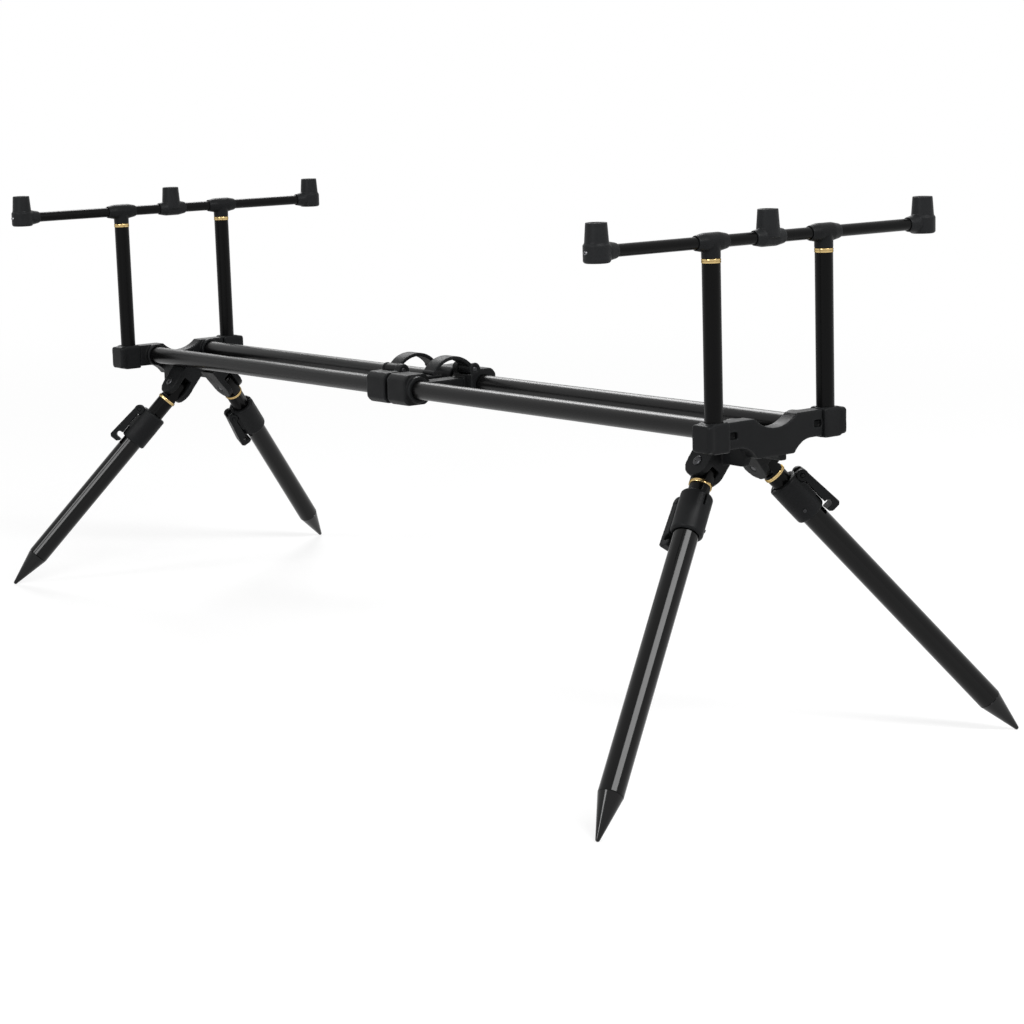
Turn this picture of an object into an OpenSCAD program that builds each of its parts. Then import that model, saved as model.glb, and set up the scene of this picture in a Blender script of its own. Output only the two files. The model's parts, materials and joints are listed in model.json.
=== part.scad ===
// Folding three-rod pod: two parallel rails between moulded end brackets, a goal-post bar at each end,
// four telescopic cam-lock legs, and a twin clamp in the middle that lets the rails slide past each other.
// Millimetres. +X runs to the high end, +Y to the right-hand side, +Z up, and the foot tips stand on z = 0.

/* [Stance] */
// Distance between the two goal posts along the rails
post_spacing = 988; // [700:1:1300]
// Distance between the two rail centre lines
rail_spacing = 72; // [60:1:90]
// Pivot to foot tip of the two front legs
front_leg_length = 362; // [320:1:420]
// Pivot to foot tip of the two rear legs
rear_leg_length = 290; // [265:1:340]
// Sideways lean of the legs away from upright
leg_spread = 39.5; // [30:0.5:48]
// Lean of the legs away from the middle of the pod
leg_sweep = 17; // [5:0.5:25]

/* [Rails] */
// Outside diameter of the rails
rail_d = 18; // [15:0.5:20]
// Wall of the rails
rail_wall = 1.5; // [1:0.1:3]

/* [Goal posts] */
// Distance between the two uprights of a post
upright_spacing = 132; // [124:1:150]
// Outside diameter of the uprights
upright_d = 16; // [13:0.5:18]
// Wall of the uprights
upright_wall = 1.4; // [1:0.1:2.5]
// Height of the cross bar above the rails
bar_height = 165; // [120:1:220]
// Diameter of the cross bar
bar_d = 10.5; // [9:0.5:14]
// Wall of the cross bar
bar_wall = 1.5; // [1:0.1:3]
// Distance between the outer two sockets
socket_spacing = 380; // [300:1:500]
// Height of a socket's mouth above the cross bar
socket_height = 24; // [21:0.5:32]
// Diameter of a socket at its mouth
socket_mouth_d = 18; // [17:0.5:24]
// Diameter of a socket at its foot
socket_foot_d = 21.5; // [20:0.5:26]
// Width of a tee along the cross bar
tee_width = 35; // [28:0.5:44]
// Wall of the tees and socket bases around the cross bar
sleeve_wall = 2.9; // [2:0.1:5]
// Height of a gold trim ring on an upright
post_ring_h = 3.8; // [2:0.5:8]
// How far a goal post's ring stands out from its upright
post_ring_lip = 0.3; // [0.2:0.1:2]
// Height of a tee's stem between its ring and its sleeve
stem_h = 5.5; // [1:0.5:8]
// Length of a tee's spigot inside the upright
spigot_h = 22; // [15:1:40]
// Length over which the ends of the sleeves on the cross bar taper
sleeve_taper = 9; // [4:0.5:12]
// Wall of those sleeves at their thin ends
sleeve_lip = 1.2; // [0.8:0.1:2]
// How far the boss of an outer socket stands out past its cup, and below its sleeve
boss_lip = 0.8; // [0.4:0.1:2]
// Chamfer round the foot of that boss
boss_chamfer = 1.5; // [0.5:0.1:3]
// Length of the centre socket's barrel along the cross bar
barrel_length = 34; // [28:0.5:44]

/* [Threaded inserts] */
// Outside diameter of the brass insert
insert_d = 12; // [10:0.5:14]
// Length of the brass insert
insert_length = 14; // [8:0.5:18]
// How far the insert lies below the socket's mouth
insert_recess = 2; // [0.5:0.1:3]
// Plain bore of the insert at the root of a 3/8 in BSF thread
insert_bore_d = 8.1; // [6:0.1:9]

/* [Post blocks] */
// Size of a post block along the rails
block_x = 21; // [20:0.5:28]
// Width of a post block across the rails
block_y = 20; // [19:0.5:28]
// Top of a post block above the rails
block_top = 13.5; // [10:0.5:20]
// Height of a post block
block_z = 27; // [25:0.5:34]
// Chamfer round the top of a post block
block_chamfer = 1.8; // [0.5:0.1:2]
// Depth of the upright's seat in its block
upright_seat = 15; // [12:0.5:16]
// Thickness of the plate on the outer side of a block
plate_t = 6; // [3:0.5:10]
// How far the plate stands clear of the block all round
plate_lip = 0.6; // [0.2:0.1:2]
// Height of the plate
plate_h = 24; // [20:0.5:26]
// Radius that cuts the plate's corners
plate_corner_r = 15; // [13.5:0.1:16]
// Diameter of the stub that a post block turns on
post_stub_d = 7; // [5:0.5:8]
// Block left beyond the end of the stub
stub_cap = 4; // [2:0.5:8]

/* [End brackets] */
// Depth of the web along the rails
web_t = 16; // [14:0.5:24]
// How far the web stands out past the goal post
web_out = 7.5; // [5:0.5:10]
// Web left beyond the end of a rail
rail_blind = 5; // [3:0.5:8]
// Top of the web's shoulders above the rails
web_top = 12; // [11:0.5:16]
// Depth of the saddle in the web's top
saddle_depth = 10; // [4:0.5:14]
// Radius of the saddle across the web's top
saddle_r = 36; // [28:1:60]
// Bottom of the web below the rails
web_drop = 23; // [20:0.5:28]
// Height of the bracket's arm where it meets the post block
arm_h = 23.5; // [22.5:0.5:28]
// Radius of the cove under an arm
cove_r = 24; // [18:0.5:30]
// Distance of a cove's crest from the middle of the web
cove_y = 42; // [38:0.5:48]
// Distance of an arm's pocket from the middle of the web
pocket_y = 50; // [49.5:0.1:50.5]
// Width of an arm's pocket
pocket_w = 9; // [4:0.5:9.5]
// Height of an arm's pocket
pocket_h = 6; // [3:0.5:10]
// Depth of an arm's pocket
pocket_depth = 4; // [1:0.5:4.5]
// Distance of a rail collar's mouth in from the goal post
collar_length = 13; // [11:0.5:24]
// Wall of a rail collar
collar_wall = 3.2; // [2:0.1:5]
// Gap between the keel and a rail
keel_gap = 1; // [0.5:0.1:3]
// Top of the keel below the rails
keel_top = 6; // [2:0.5:12]
// Bottom of the keel below the rails
keel_drop = 31; // [27:0.5:36]
// How far the forks stand out past the inner end of the keel
keel_step = 1; // [0.5:0.1:3]
// Radius of the arch under the keel
arch_r = 20; // [14:0.5:24]
// Height of the arch under the keel
arch_rise = 13.5; // [5:0.5:16]

/* [Leg knuckles] */
// Distance of the leg pivots in from the goal post
leg_inset = 48; // [44:0.5:60]
// Distance between the left and right leg pivots
leg_pivot_spacing = 66; // [58:1:74]
// Distance of the leg pivots below the rails
leg_drop = 35; // [33:0.5:42]
// Thickness of the tang at the top of a leg
tang_t = 10; // [6:0.5:12]
// Thickness of each fork cheek
cheek_t = 6.5; // [3:0.5:8]
// Radius of a fork cheek round its pin
cheek_r = 14; // [11:0.5:14.5]
// Height of the fork's root above its pin
fork_root = 27; // [22:0.5:30]
// Room round the tang inside its fork
tang_room = 1.5; // [1:0.1:3]
// Diameter of the leg pins
leg_pin_d = 6; // [4:0.5:8]
// Diameter of a leg pin's head
pin_head_d = 9; // [7:0.5:11]
// Height of a leg pin's head
pin_head_h = 1.6; // [1:0.1:3]

/* [Legs] */
// Outside diameter of the lower leg tubes
lower_d = 22; // [20:0.5:26]
// Outside diameter of the upper leg tubes
upper_d = 19; // [16:0.5:21]
// Wall of the upper leg tubes
upper_wall = 1.5; // [1:0.1:2.5]
// Distance from the pivot to the gold ring on a leg
leg_ring_at = 17; // [15:0.5:22]
// Length of the tang's root under the gold ring
tang_root = 2; // [1:0.5:3]
// Length of the gold ring on a leg
leg_ring_h = 3; // [2:0.5:8]
// How far a leg's ring stands out from its tube
leg_ring_lip = 0.8; // [0.5:0.1:3]
// Bare upper tube between the gold ring and the lock of a front leg
front_bare_tube = 9; // [6:0.5:24]
// Bare upper tube between the gold ring and the lock of a rear leg
rear_bare_tube = 20; // [6:0.5:24]
// Length of the upper tube inside the lower one
tube_overlap = 150; // [130:1:155]
// Length of the pointed foot
foot_length = 42; // [24:1:50]
// Radius of the rounded tip of the foot
tip_r = 2; // [1:0.1:4]
// Length of the foot's plug inside the lower tube
foot_plug = 18; // [10:1:30]

/* [Leg locks] */
// Length of a lock collar
lock_length = 40; // [36:0.5:56]
// Length of the lock's upper bore, which grips the upper tube
grip_length = 13; // [8:0.5:18]
// Wall of the lock collar over the lower tube
lock_wall = 3.5; // [2.5:0.1:4.5]
// Chamfer round the top and bottom of a lock collar
lock_chamfer = 1.5; // [0.5:0.1:2.5]
// Distance of the lever pin from the leg's axis
lever_pin_out = 16.5; // [16.2:0.1:19]
// Distance of the lever pin below the top of the lock
lever_pin_down = 6.5; // [6:0.5:10]
// Diameter of the lever pin
lever_pin_d = 4; // [3:0.1:4.5]
// Radius of the lever's round head
cam_r = 5.6; // [4.8:0.1:5.8]
// Radius of the lug inside the lever's head
lug_r = 3.8; // [3.2:0.1:4]
// Thickness of the lug
lug_t = 6; // [4:0.5:8]
// Width of the lever
lever_w = 17; // [14:0.5:18]
// Length of the lever from its pin to its tip
lever_length = 44; // [40:0.5:56]
// How far the lever's outer face leans out at its tip
tail_kick = 2.5; // [1:0.5:8]
// Thickness of the hook at the lever's tip
hook_t = 5; // [3:0.2:7]
// Radius of the finger notch above the hook
notch_r = 3.3; // [2.5:0.1:4]
// How far the centre of the notch lies inside the lever
notch_in = 1.5; // [1:0.1:3]
// Gap between the tip of the lever's hook and the lower tube
hook_gap = 0.8; // [0.4:0.1:3]
// Length of the flat pad on the lock that the lever lies on
pad_length = 27; // [18:0.5:34]
// How far the pad's face lies inside the lock's outer radius
pad_step = 0.2; // [0.1:0.1:1]
// How far the lever pin stands out of the lever
pin_proud = 0.8; // [0.4:0.1:2]
// Width of the split in the lock's grip
split_w = 2; // [1:0.5:3]

/* [Middle clamps] */
// Length of the gripping block of a clamp
grip_block_length = 31; // [28:0.5:44]
// Gap between the two closed clamps along a rail
clamp_gap = 5; // [3:0.5:12]
// Length of the square part of a clamp's sleeve
sleeve_square = 29.5; // [24:0.5:44]
// Length of the round end of a clamp's sleeve
sleeve_round = 4.5; // [3:0.5:20]
// How far the gap between the clamps lies from the middle of the pod
clamp_shift = 7; // [2:0.5:8]
// Width and height of the clamp's square parts
clamp_size = 31; // [28:0.5:36]
// Radius that cuts the corners of the clamp's square parts
clamp_corner_r = 18.5; // [17:0.1:20]
// Wall of the round part of a clamp's sleeve
clamp_wall = 4.4; // [3:0.1:6]
// Height of the bridge between the two rails
bridge_h = 14; // [8:0.5:20]
// Width of the bow lever along the rails
bow_w = 18.7; // [12:0.1:22]
// Thickness of the bow lever
bow_t = 3.6; // [2.5:0.1:6]
// How far the lever's head and tail stand out past its band on each side
bow_step = 0.5; // [0.2:0.1:2]
// Rise of the bow lever between its ends
bow_rise = 13; // [8:0.5:20]
// Radius of the bead along the bow lever's tail
bow_tail_r = 2.5; // [2:0.1:3.5]
// How far the tail stops short of the other clamp half
bow_tail_in = 4; // [2:0.5:8]
// Distance of the bow lever's pivot in from its rail
bow_pivot_in = 10; // [8:0.5:12]
// Height of the bow lever's pivot above the rails
bow_pivot_up = 16; // [15:0.5:19]
// Radius of the bow lever's cam head
bow_cam_r = 5.5; // [4.5:0.1:6]
// Diameter of the bow lever's pin
bow_pin_d = 5; // [3:0.5:6]
// Thickness of the outer pin lug
bow_lug_t = 3; // [2:0.5:5]
// How far the pin lugs stand out round the cam head
bow_lug_lip = 1; // [0.5:0.1:2]

/* [Fits] */
// Radial clearance of pieces that slide or turn
run_gap = 0.1; // [0.05:0.01:0.1]
// Radial clearance of pieces that are fixed together
fix_gap = 0.04; // [0.01:0.01:0.06]
// Side clearance between moving flat faces
side_gap = 0.3; // [0.2:0.05:0.6]
// Clearance round a lever's cam head
cam_gap = 0.4; // [0.3:0.05:0.8]

/* [Hidden] */
$fn = 64;
// Small overlap that makes cuts pass clean through
cut = 1;
// Half sizes that many pieces share
post_x = post_spacing / 2;
rail_y = rail_spacing / 2;
rail_r = rail_d / 2;
upright_y = upright_spacing / 2;
upright_r = upright_d / 2;
bar_r = bar_d / 2;
socket_y = socket_spacing / 2;
lower_r = lower_d / 2;
upper_r = upper_d / 2;
sleeve_r = bar_r + sleeve_wall;
sleeve_lip_r = bar_r + sleeve_lip;
// A post block turns about a stub that passes below the upright's seat
stub_z = block_top - block_z + (block_z - upright_seat) / 2;
arm_y = upright_y - block_y / 2 - side_gap;
stub_length = block_y - stub_cap;
// A rail ends inside the web, beyond the goal post's plane
rail_stop = rail_blind - web_out;
collar_r = rail_r + collar_wall;
// Inner end of the keel, measured from the goal post's plane
keel_x0 = keel_step - leg_inset - cheek_r;
// Directions of a leg: along its axis, in the rail frame, for the front right leg
leg_dir = [sin(leg_sweep), cos(leg_sweep) * sin(leg_spread), -cos(leg_sweep) * cos(leg_spread)];
leg_root = [post_x - leg_inset, leg_pivot_spacing / 2, -leg_drop];
// Centres of the rounded foot tips, in the rail frame
front_tip = leg_root + (front_leg_length - tip_r) * leg_dir;
rear_tip_flipped = leg_root + (rear_leg_length - tip_r) * leg_dir;
rear_tip = [-rear_tip_flipped.x, rear_tip_flipped.y, rear_tip_flipped.z];
// The unequal legs tilt the rails, and the stand puts the tips on the ground
tilt = atan((rear_tip.z - front_tip.z) / (front_tip.x - rear_tip.x));
stand_z = tip_r - front_tip.x * sin(tilt) - front_tip.z * cos(tilt);
stand_x = -((front_tip.x + rear_tip.x) * cos(tilt) - (front_tip.z + rear_tip.z) * sin(tilt)) / 2;
// Stations along a leg, measured from its pivot
ring_end = leg_ring_at + leg_ring_h;
function lock_at(end) = ring_end + (end < 0 ? rear_bare_tube : front_bare_tube);
function lower_at(end) = lock_at(end) + grip_length;
function lever_pin_at(end) = lock_at(end) + lever_pin_down;
lower_bore_r = upper_r + run_gap;
lock_r = lower_r + lock_wall;
fork_half = tang_t / 2 + side_gap + cheek_t;
// Angle of each lever round its leg, measured from the pin axis outward
lever_turn_front_left = -103;
lever_turn_front_right = 24;
lever_turn_rear_left = 30;
lever_turn_rear_right = 160;
// Stations of the rear clamp along the rails
grip_x1 = -clamp_gap / 2 - clamp_shift;
grip_x0 = grip_x1 - grip_block_length;
square_x1 = -grip_x1 - clamp_gap;
square_x0 = square_x1 - sleeve_square;
round_x0 = square_x0 - sleeve_round;
// The bow lever follows an arc from its pivot to a tail over the other rail
bow_x0 = grip_x0 + bow_lug_t + side_gap;
bow_span = 2 * (rail_y - bow_pivot_in) - bow_tail_in;
bow_r = (pow(bow_span / 2, 2) + pow(bow_rise, 2)) / (2 * bow_rise);
bow_pivot = [-rail_y + bow_pivot_in, bow_pivot_up];
bow_centre = [bow_pivot.x + bow_span / 2, bow_pivot.y + bow_rise - bow_r];
bow_half_angle = asin(bow_span / 2 / bow_r);

rear = -1;
front = 1;
left = -1;
right = 1;
moulding = "#34373a";
gloss = "#1d1e20";
gold = "#c9a050";
brass = "#b5924c";
steel = "#b9bcc0";

// The rail frame, tilted and lifted so that the foot tips stand on the ground
module stand() {
    translate([stand_x, 0, stand_z])
        rotate([0, -tilt, 0])
            children();
}

// One end of the pod: x points outward from the goal post, at the height of the rails
module at_end(end) {
    translate([end * post_x, 0, 0])
        mirror([end < 0 ? 1 : 0, 0, 0])
            children();
}

// One side of the pod, drawn as the right-hand one
module at_side(side) {
    mirror([0, side < 0 ? 1 : 0, 0])
        children();
}

// A leg's fold frame: x outward, y down the fold plane, z along the pin
module leg_frame(end, side) {
    at_end(end)
        at_side(side)
            translate([-leg_inset, leg_pivot_spacing / 2, -leg_drop])
                rotate([leg_spread - 90, 0, 0])
                    children();
}

// A leg's own frame: z down the leg from its pivot, y along the pin
module leg_axis(end, side) {
    leg_frame(end, side)
        rotate([0, 0, -leg_sweep])
            rotate([-90, 0, 0])
                children();
}

// A lock's frame: as the leg's, turned so that the lever is on the +x side
module lock_axis(end, side, turn) {
    leg_axis(end, side)
        rotate([0, 0, turn - 90])
            children();
}

// Flat outline in y and z, extruded along x
module along_x(x0, length) {
    translate([x0, 0, 0])
        rotate([90, 0, 90])
            linear_extrude(length)
                children();
}

// Round bar along x or along y
module rod_x(x0, length, r) {
    translate([x0, 0, 0])
        rotate([0, 90, 0])
            cylinder(h = length, r = r);
}

module rod_y(y0, length, r) {
    translate([0, y0, 0])
        rotate([-90, 0, 0])
            cylinder(h = length, r = r);
}

// Rectangle with its corners cut round
module round_square(size, corner_r) {
    intersection() {
        square(size, center = true);
        circle(corner_r);
    }
}

// Upright cylinder with both rims chamfered
module chamfered_cylinder(z0, h, r, chamfer) {
    translate([0, 0, z0])
        rotate_extrude()
            polygon([[0, 0], [r - chamfer, 0], [r, chamfer], [r, h - chamfer], [r - chamfer, h], [0, h]]);
}

// Sleeve round the cross bar from y0 to y1; each end narrows to its own radius over its own length
module tapered_sleeve(y0, r0, taper0, y1, r1, taper1) {
    rotate([-90, 0, 0])
        rotate_extrude()
            polygon([[0, y0], [r0, y0], [sleeve_r, y0 + taper0], [sleeve_r, y1 - taper1], [r1, y1], [0, y1]]);
}

// Outline of an end bracket's web, seen along the rails
module web_outline() {
    difference() {
        translate([-arm_y, -web_drop])
            square([2 * arm_y, web_top + web_drop]);
        translate([0, web_top - saddle_depth + saddle_r])
            circle(saddle_r);
        for (side = [0, 1])
            mirror([side, 0])
                translate([cove_y, web_top - arm_h - cove_r]) {
                    circle(cove_r);
                    square([arm_y, cove_r]);
                }
    }
}

// Outline of the keel that carries the leg forks between the rails
module keel_outline() {
    keel_y = rail_y - rail_r - keel_gap;
    difference() {
        translate([-keel_y, -keel_drop])
            square([2 * keel_y, keel_drop - keel_top]);
        translate([0, -keel_drop + arch_rise - arch_r])
            circle(arch_r);
    }
}

// Fork that carries one leg, in the leg's fold frame
module leg_fork() {
    translate([0, 0, -fork_half])
        linear_extrude(2 * fork_half)
            union() {
                circle(cheek_r);
                translate([-cheek_r, -fork_root])
                    square([2 * cheek_r, fork_root]);
            }
}

// Room that a leg needs in its fork to fold in under the rails, and the bore of its pin
module fork_room() {
    room = upper_r + tang_room;
    slot_half = tang_t / 2 + side_gap;
    translate([0, 0, -slot_half])
        linear_extrude(2 * slot_half)
            union() {
                circle(room);
                translate([-2 * cheek_r, 0])
                    square([4 * cheek_r, 2 * cheek_r]);
                translate([-2 * cheek_r, -room])
                    square([2 * cheek_r, room]);
            }
    cylinder(h = 4 * fork_half, r = leg_pin_d / 2 + fix_gap, center = true);
}

// Moulded end bracket; fixed_side is the side whose rail is fastened in it
module bracket(end, fixed_side) {
    color(moulding)
        stand()
            difference() {
                union() {
                    at_end(end) {
                        along_x(web_out - web_t, web_t)
                            web_outline();
                        along_x(keel_x0, web_out - web_t + cut - keel_x0)
                            keel_outline();
                        for (side = [left, right])
                            at_side(side) {
                                translate([0, rail_y, 0])
                                    rod_x(-collar_length, collar_length, collar_r);
                                translate([0, 0, stub_z])
                                    rod_y(arm_y - cut, stub_length + cut, post_stub_d / 2);
                            }
                    }
                    for (side = [left, right])
                        leg_frame(end, side)
                            leg_fork();
                }
                at_end(end)
                    for (side = [left, right]) {
                        translate([0, side * rail_y, 0])
                            rod_x(-post_x, post_x - rail_stop, rail_r + (side == fixed_side ? fix_gap : run_gap));
                        translate([web_out, side * pocket_y, 0])
                            cube([2 * pocket_depth, pocket_w, pocket_h], center = true);
                    }
                for (side = [left, right])
                    leg_frame(end, side)
                        fork_room();
            }
}

// Rail tube, from the stop in one bracket to the stop in the other
module rail(side) {
    reach = post_x - rail_stop - side_gap;
    color(gloss)
        stand()
            translate([0, side * rail_y, 0])
                difference() {
                    rod_x(-reach, 2 * reach, rail_r);
                    rod_x(-reach - cut, 2 * reach + 2 * cut, rail_r - rail_wall);
                }
}

// Pins of the two legs at one end, each with a head on the outside
module leg_pins(end) {
    color(steel)
        stand()
            for (side = [left, right])
                leg_frame(end, side) {
                    translate([0, 0, -fork_half])
                        cylinder(h = 2 * fork_half, r = leg_pin_d / 2);
                    translate([0, 0, fork_half])
                        cylinder(h = pin_head_h, r = pin_head_d / 2);
                }
}

// Middle clamp, drawn as the rear one: grip block on the left rail, sleeve on the right rail
module clamp_body() {
    difference() {
        union() {
            translate([0, -rail_y, 0])
                along_x(grip_x0, grip_block_length)
                    round_square(clamp_size, clamp_corner_r);
            translate([0, rail_y, 0]) {
                along_x(square_x0, sleeve_square)
                    round_square(clamp_size, clamp_corner_r);
                rod_x(round_x0, sleeve_round + cut, rail_r + clamp_wall);
            }
            translate([round_x0, -rail_y, -bridge_h / 2])
                cube([grip_x1 - round_x0, rail_spacing, bridge_h]);
            translate([0, bow_pivot.x, bow_pivot.y])
                rod_x(grip_x0, grip_block_length, bow_cam_r + bow_lug_lip);
        }
        translate([0, -rail_y, 0])
            rod_x(grip_x0 - cut, grip_block_length + 2 * cut, rail_r + run_gap);
        translate([0, rail_y, 0])
            rod_x(round_x0 - cut, sleeve_square + sleeve_round + 2 * cut, rail_r + fix_gap);
        translate([0, bow_pivot.x, bow_pivot.y]) {
            rod_x(grip_x0 - cut, grip_block_length + 2 * cut, bow_pin_d / 2 + fix_gap);
            rod_x(bow_x0 - side_gap, bow_w + 2 * side_gap, bow_cam_r + bow_lug_lip + cam_gap);
        }
    }
}

// Bow lever of a clamp: cam head, arched band and rounded tail
module bow_lever() {
    difference() {
        union() {
            translate([0, bow_pivot.x, bow_pivot.y])
                rod_x(bow_x0, bow_w, bow_cam_r);
            translate([bow_x0 + bow_step, bow_centre.x, bow_centre.y])
                rotate([90, 0, 90])
                    rotate([0, 0, 90 - bow_half_angle])
                        rotate_extrude(angle = 2 * bow_half_angle)
                            translate([bow_r - bow_t / 2, 0])
                                square([bow_t, bow_w - 2 * bow_step]);
            translate([0, bow_pivot.x + bow_span, bow_pivot.y])
                rod_x(bow_x0, bow_w, bow_tail_r);
        }
        translate([0, bow_pivot.x, bow_pivot.y])
            rod_x(bow_x0 - cut, bow_w + 2 * cut, bow_pin_d / 2 + run_gap);
    }
}

// Pin that the bow lever turns on
module bow_pin() {
    translate([0, bow_pivot.x, bow_pivot.y])
        rod_x(grip_x0, grip_block_length, bow_pin_d / 2);
}

// The front clamp is the rear one turned half round
module at_clamp(end) {
    stand()
        rotate([0, 0, end < 0 ? 0 : 180])
            children();
}

module clamp(end) {
    color(moulding)
        at_clamp(end)
            clamp_body();
}

module clamp_lever(end) {
    color(moulding)
        at_clamp(end)
            bow_lever();
}

module clamp_pin(end) {
    color(steel)
        at_clamp(end)
            bow_pin();
}

// Frame of one upright: z along it, origin at the height of the rails
module at_upright(end, side) {
    stand()
        at_end(end)
            at_side(side)
                translate([0, upright_y, 0])
                    children();
}

// Frame of a cross bar, y along it
module at_bar(end) {
    stand()
        at_end(end)
            translate([0, 0, bar_height])
                children();
}

// Outline of a post block with its top edges chamfered
module block_outline(width) {
    half = width / 2;
    z0 = block_top - block_z;
    z1 = block_top - block_chamfer;
    inset = half - block_chamfer;
    polygon([[-half, z0], [half, z0], [half, z1], [inset, block_top], [-inset, block_top], [-half, z1]]);
}

// Post block: chamfered body with the upright's seat, the stub's bore and a plate on its outer side
module post_block(end, side) {
    color(moulding)
        at_upright(end, side)
            difference() {
                union() {
                    intersection() {
                        along_x(-block_x / 2, block_x)
                            block_outline(block_y);
                        rotate([0, 0, 90])
                            along_x(-block_y / 2, block_y)
                                block_outline(block_x);
                    }
                    translate([0, block_y / 2, block_top - block_z / 2])
                        rotate([-90, 0, 0])
                            linear_extrude(plate_t)
                                round_square([block_x + 2 * plate_lip, plate_h], plate_corner_r);
                }
                translate([0, 0, block_top - upright_seat])
                    cylinder(h = upright_seat + cut, r = upright_r + fix_gap);
                translate([0, 0, stub_z])
                    rod_y(-block_y / 2 - cut, stub_length + side_gap + 2 * cut, post_stub_d / 2 + run_gap);
            }
}

// Upright tube, from its seat in the block to the trim ring under the tee
module upright(end, side) {
    z0 = block_top - upright_seat;
    z1 = bar_height - sleeve_r - stem_h - post_ring_h;
    color(gloss)
        at_upright(end, side)
            difference() {
                translate([0, 0, z0])
                    cylinder(h = z1 - z0, r = upright_r);
                translate([0, 0, z0 - cut])
                    cylinder(h = z1 - z0 + 2 * cut, r = upright_r - upright_wall);
            }
}

// Gold rings that sit on the two uprights of one post, round the spigots of the tees
module post_rings(end) {
    color(gold)
        for (side = [left, right])
            at_upright(end, side)
                translate([0, 0, bar_height - sleeve_r - stem_h - post_ring_h])
                    difference() {
                        cylinder(h = post_ring_h, r = upright_r + post_ring_lip);
                        translate([0, 0, -cut])
                            cylinder(h = post_ring_h + 2 * cut, r = upright_r - upright_wall);
                    }
}

// Tee: a sleeve on the cross bar with a stem over the ring and a spigot in the upright
module tee(end, side) {
    stem_z0 = bar_height - sleeve_r - stem_h;
    color(moulding)
        at_upright(end, side)
            difference() {
                union() {
                    translate([0, 0, bar_height])
                        tapered_sleeve(-tee_width / 2, sleeve_lip_r, sleeve_taper,
                            tee_width / 2, sleeve_lip_r, sleeve_taper);
                    translate([0, 0, stem_z0])
                        cylinder(h = stem_h + sleeve_r, r = upright_r + post_ring_lip);
                    translate([0, 0, stem_z0 - spigot_h])
                        cylinder(h = spigot_h + cut, r = upright_r - upright_wall - fix_gap);
                }
                translate([0, 0, bar_height])
                    rod_y(-tee_width, 2 * tee_width, bar_r + fix_gap);
            }
}

// Cross bar, its ends seated in the outer sockets
module cross_bar(end) {
    reach = socket_y + bar_r;
    color(gloss)
        at_bar(end)
            difference() {
                rod_y(-reach, 2 * reach, bar_r);
                rod_y(-reach - cut, 2 * reach + 2 * cut, bar_r - bar_wall);
            }
}

// Tapered cup of a socket with its insert's seat and the clearance for a screw below
module socket_cup() {
    cylinder(h = socket_height, r1 = socket_foot_d / 2, r2 = socket_mouth_d / 2);
}

module socket_seat() {
    seat_h = insert_length + insert_recess;
    translate([0, 0, socket_height - seat_h])
        cylinder(h = seat_h + cut, r = insert_d / 2 + fix_gap);
}

// Middle socket, on a barrel that the cross bar passes through
module centre_socket(end) {
    color(moulding)
        at_bar(end)
            difference() {
                union() {
                    socket_cup();
                    tapered_sleeve(-barrel_length / 2, sleeve_lip_r, sleeve_taper,
                        barrel_length / 2, sleeve_lip_r, sleeve_taper);
                }
                socket_seat();
                rod_y(-barrel_length, 2 * barrel_length, bar_r + fix_gap);
            }
}

// Outer socket: an elbow on a boss that closes the end of the cross bar
module outer_socket(end, side) {
    skirt = socket_foot_d / 2 + sleeve_taper;
    boss_r = socket_foot_d / 2 + boss_lip;
    color(moulding)
        at_bar(end)
            at_side(side)
                difference() {
                    translate([0, socket_y, 0])
                        union() {
                            socket_cup();
                            chamfered_cylinder(-sleeve_r - boss_lip, 2 * sleeve_r, boss_r, boss_chamfer);
                            tapered_sleeve(-skirt, sleeve_lip_r, sleeve_taper, 0, sleeve_r, 0);
                        }
                    translate([0, socket_y, 0])
                        socket_seat();
                    rod_y(0, socket_y + bar_r + side_gap, bar_r + fix_gap);
                }
}

// The three threaded brass inserts of one cross bar
module inserts(end) {
    color(brass)
        at_bar(end)
            for (y = [-socket_y, 0, socket_y])
                translate([0, y, socket_height - insert_recess - insert_length])
                    difference() {
                        cylinder(h = insert_length, r = insert_d / 2);
                        translate([0, 0, -cut])
                            cylinder(h = insert_length + 2 * cut, r = insert_bore_d / 2);
                    }
}

// Upper leg tube with the tang that turns in its fork
module leg_tube(end, side) {
    tube_z1 = lower_at(end) + tube_overlap;
    color(gloss)
        stand()
            leg_axis(end, side)
                difference() {
                    union() {
                        rod_y(-tang_t / 2, tang_t, upper_r);
                        translate([-upper_r, -tang_t / 2, 0])
                            cube([2 * upper_r, tang_t, leg_ring_at]);
                        translate([0, 0, leg_ring_at - tang_root])
                            cylinder(h = tube_z1 - leg_ring_at + tang_root, r = upper_r);
                    }
                    translate([0, 0, ring_end])
                        cylinder(h = tube_z1 - ring_end + cut, r = upper_r - upper_wall);
                    rod_y(-tang_t, 2 * tang_t, leg_pin_d / 2 + run_gap);
                }
}

// Gold ring at the top of a leg
module leg_ring(end, side) {
    color(gold)
        stand()
            leg_axis(end, side)
                translate([0, 0, leg_ring_at])
                    difference() {
                        cylinder(h = leg_ring_h, r = upper_r + leg_ring_lip);
                        translate([0, 0, -cut])
                            cylinder(h = leg_ring_h + 2 * cut, r = upper_r + fix_gap);
                    }
}

// Lower leg tube
module lower_tube(end, side, length) {
    tube_h = length - foot_length - lower_at(end);
    color(gloss)
        stand()
            leg_axis(end, side)
                translate([0, 0, lower_at(end)])
                    difference() {
                        cylinder(h = tube_h, r = lower_r);
                        translate([0, 0, -cut])
                            cylinder(h = tube_h + 2 * cut, r = lower_bore_r);
                    }
}

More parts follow.
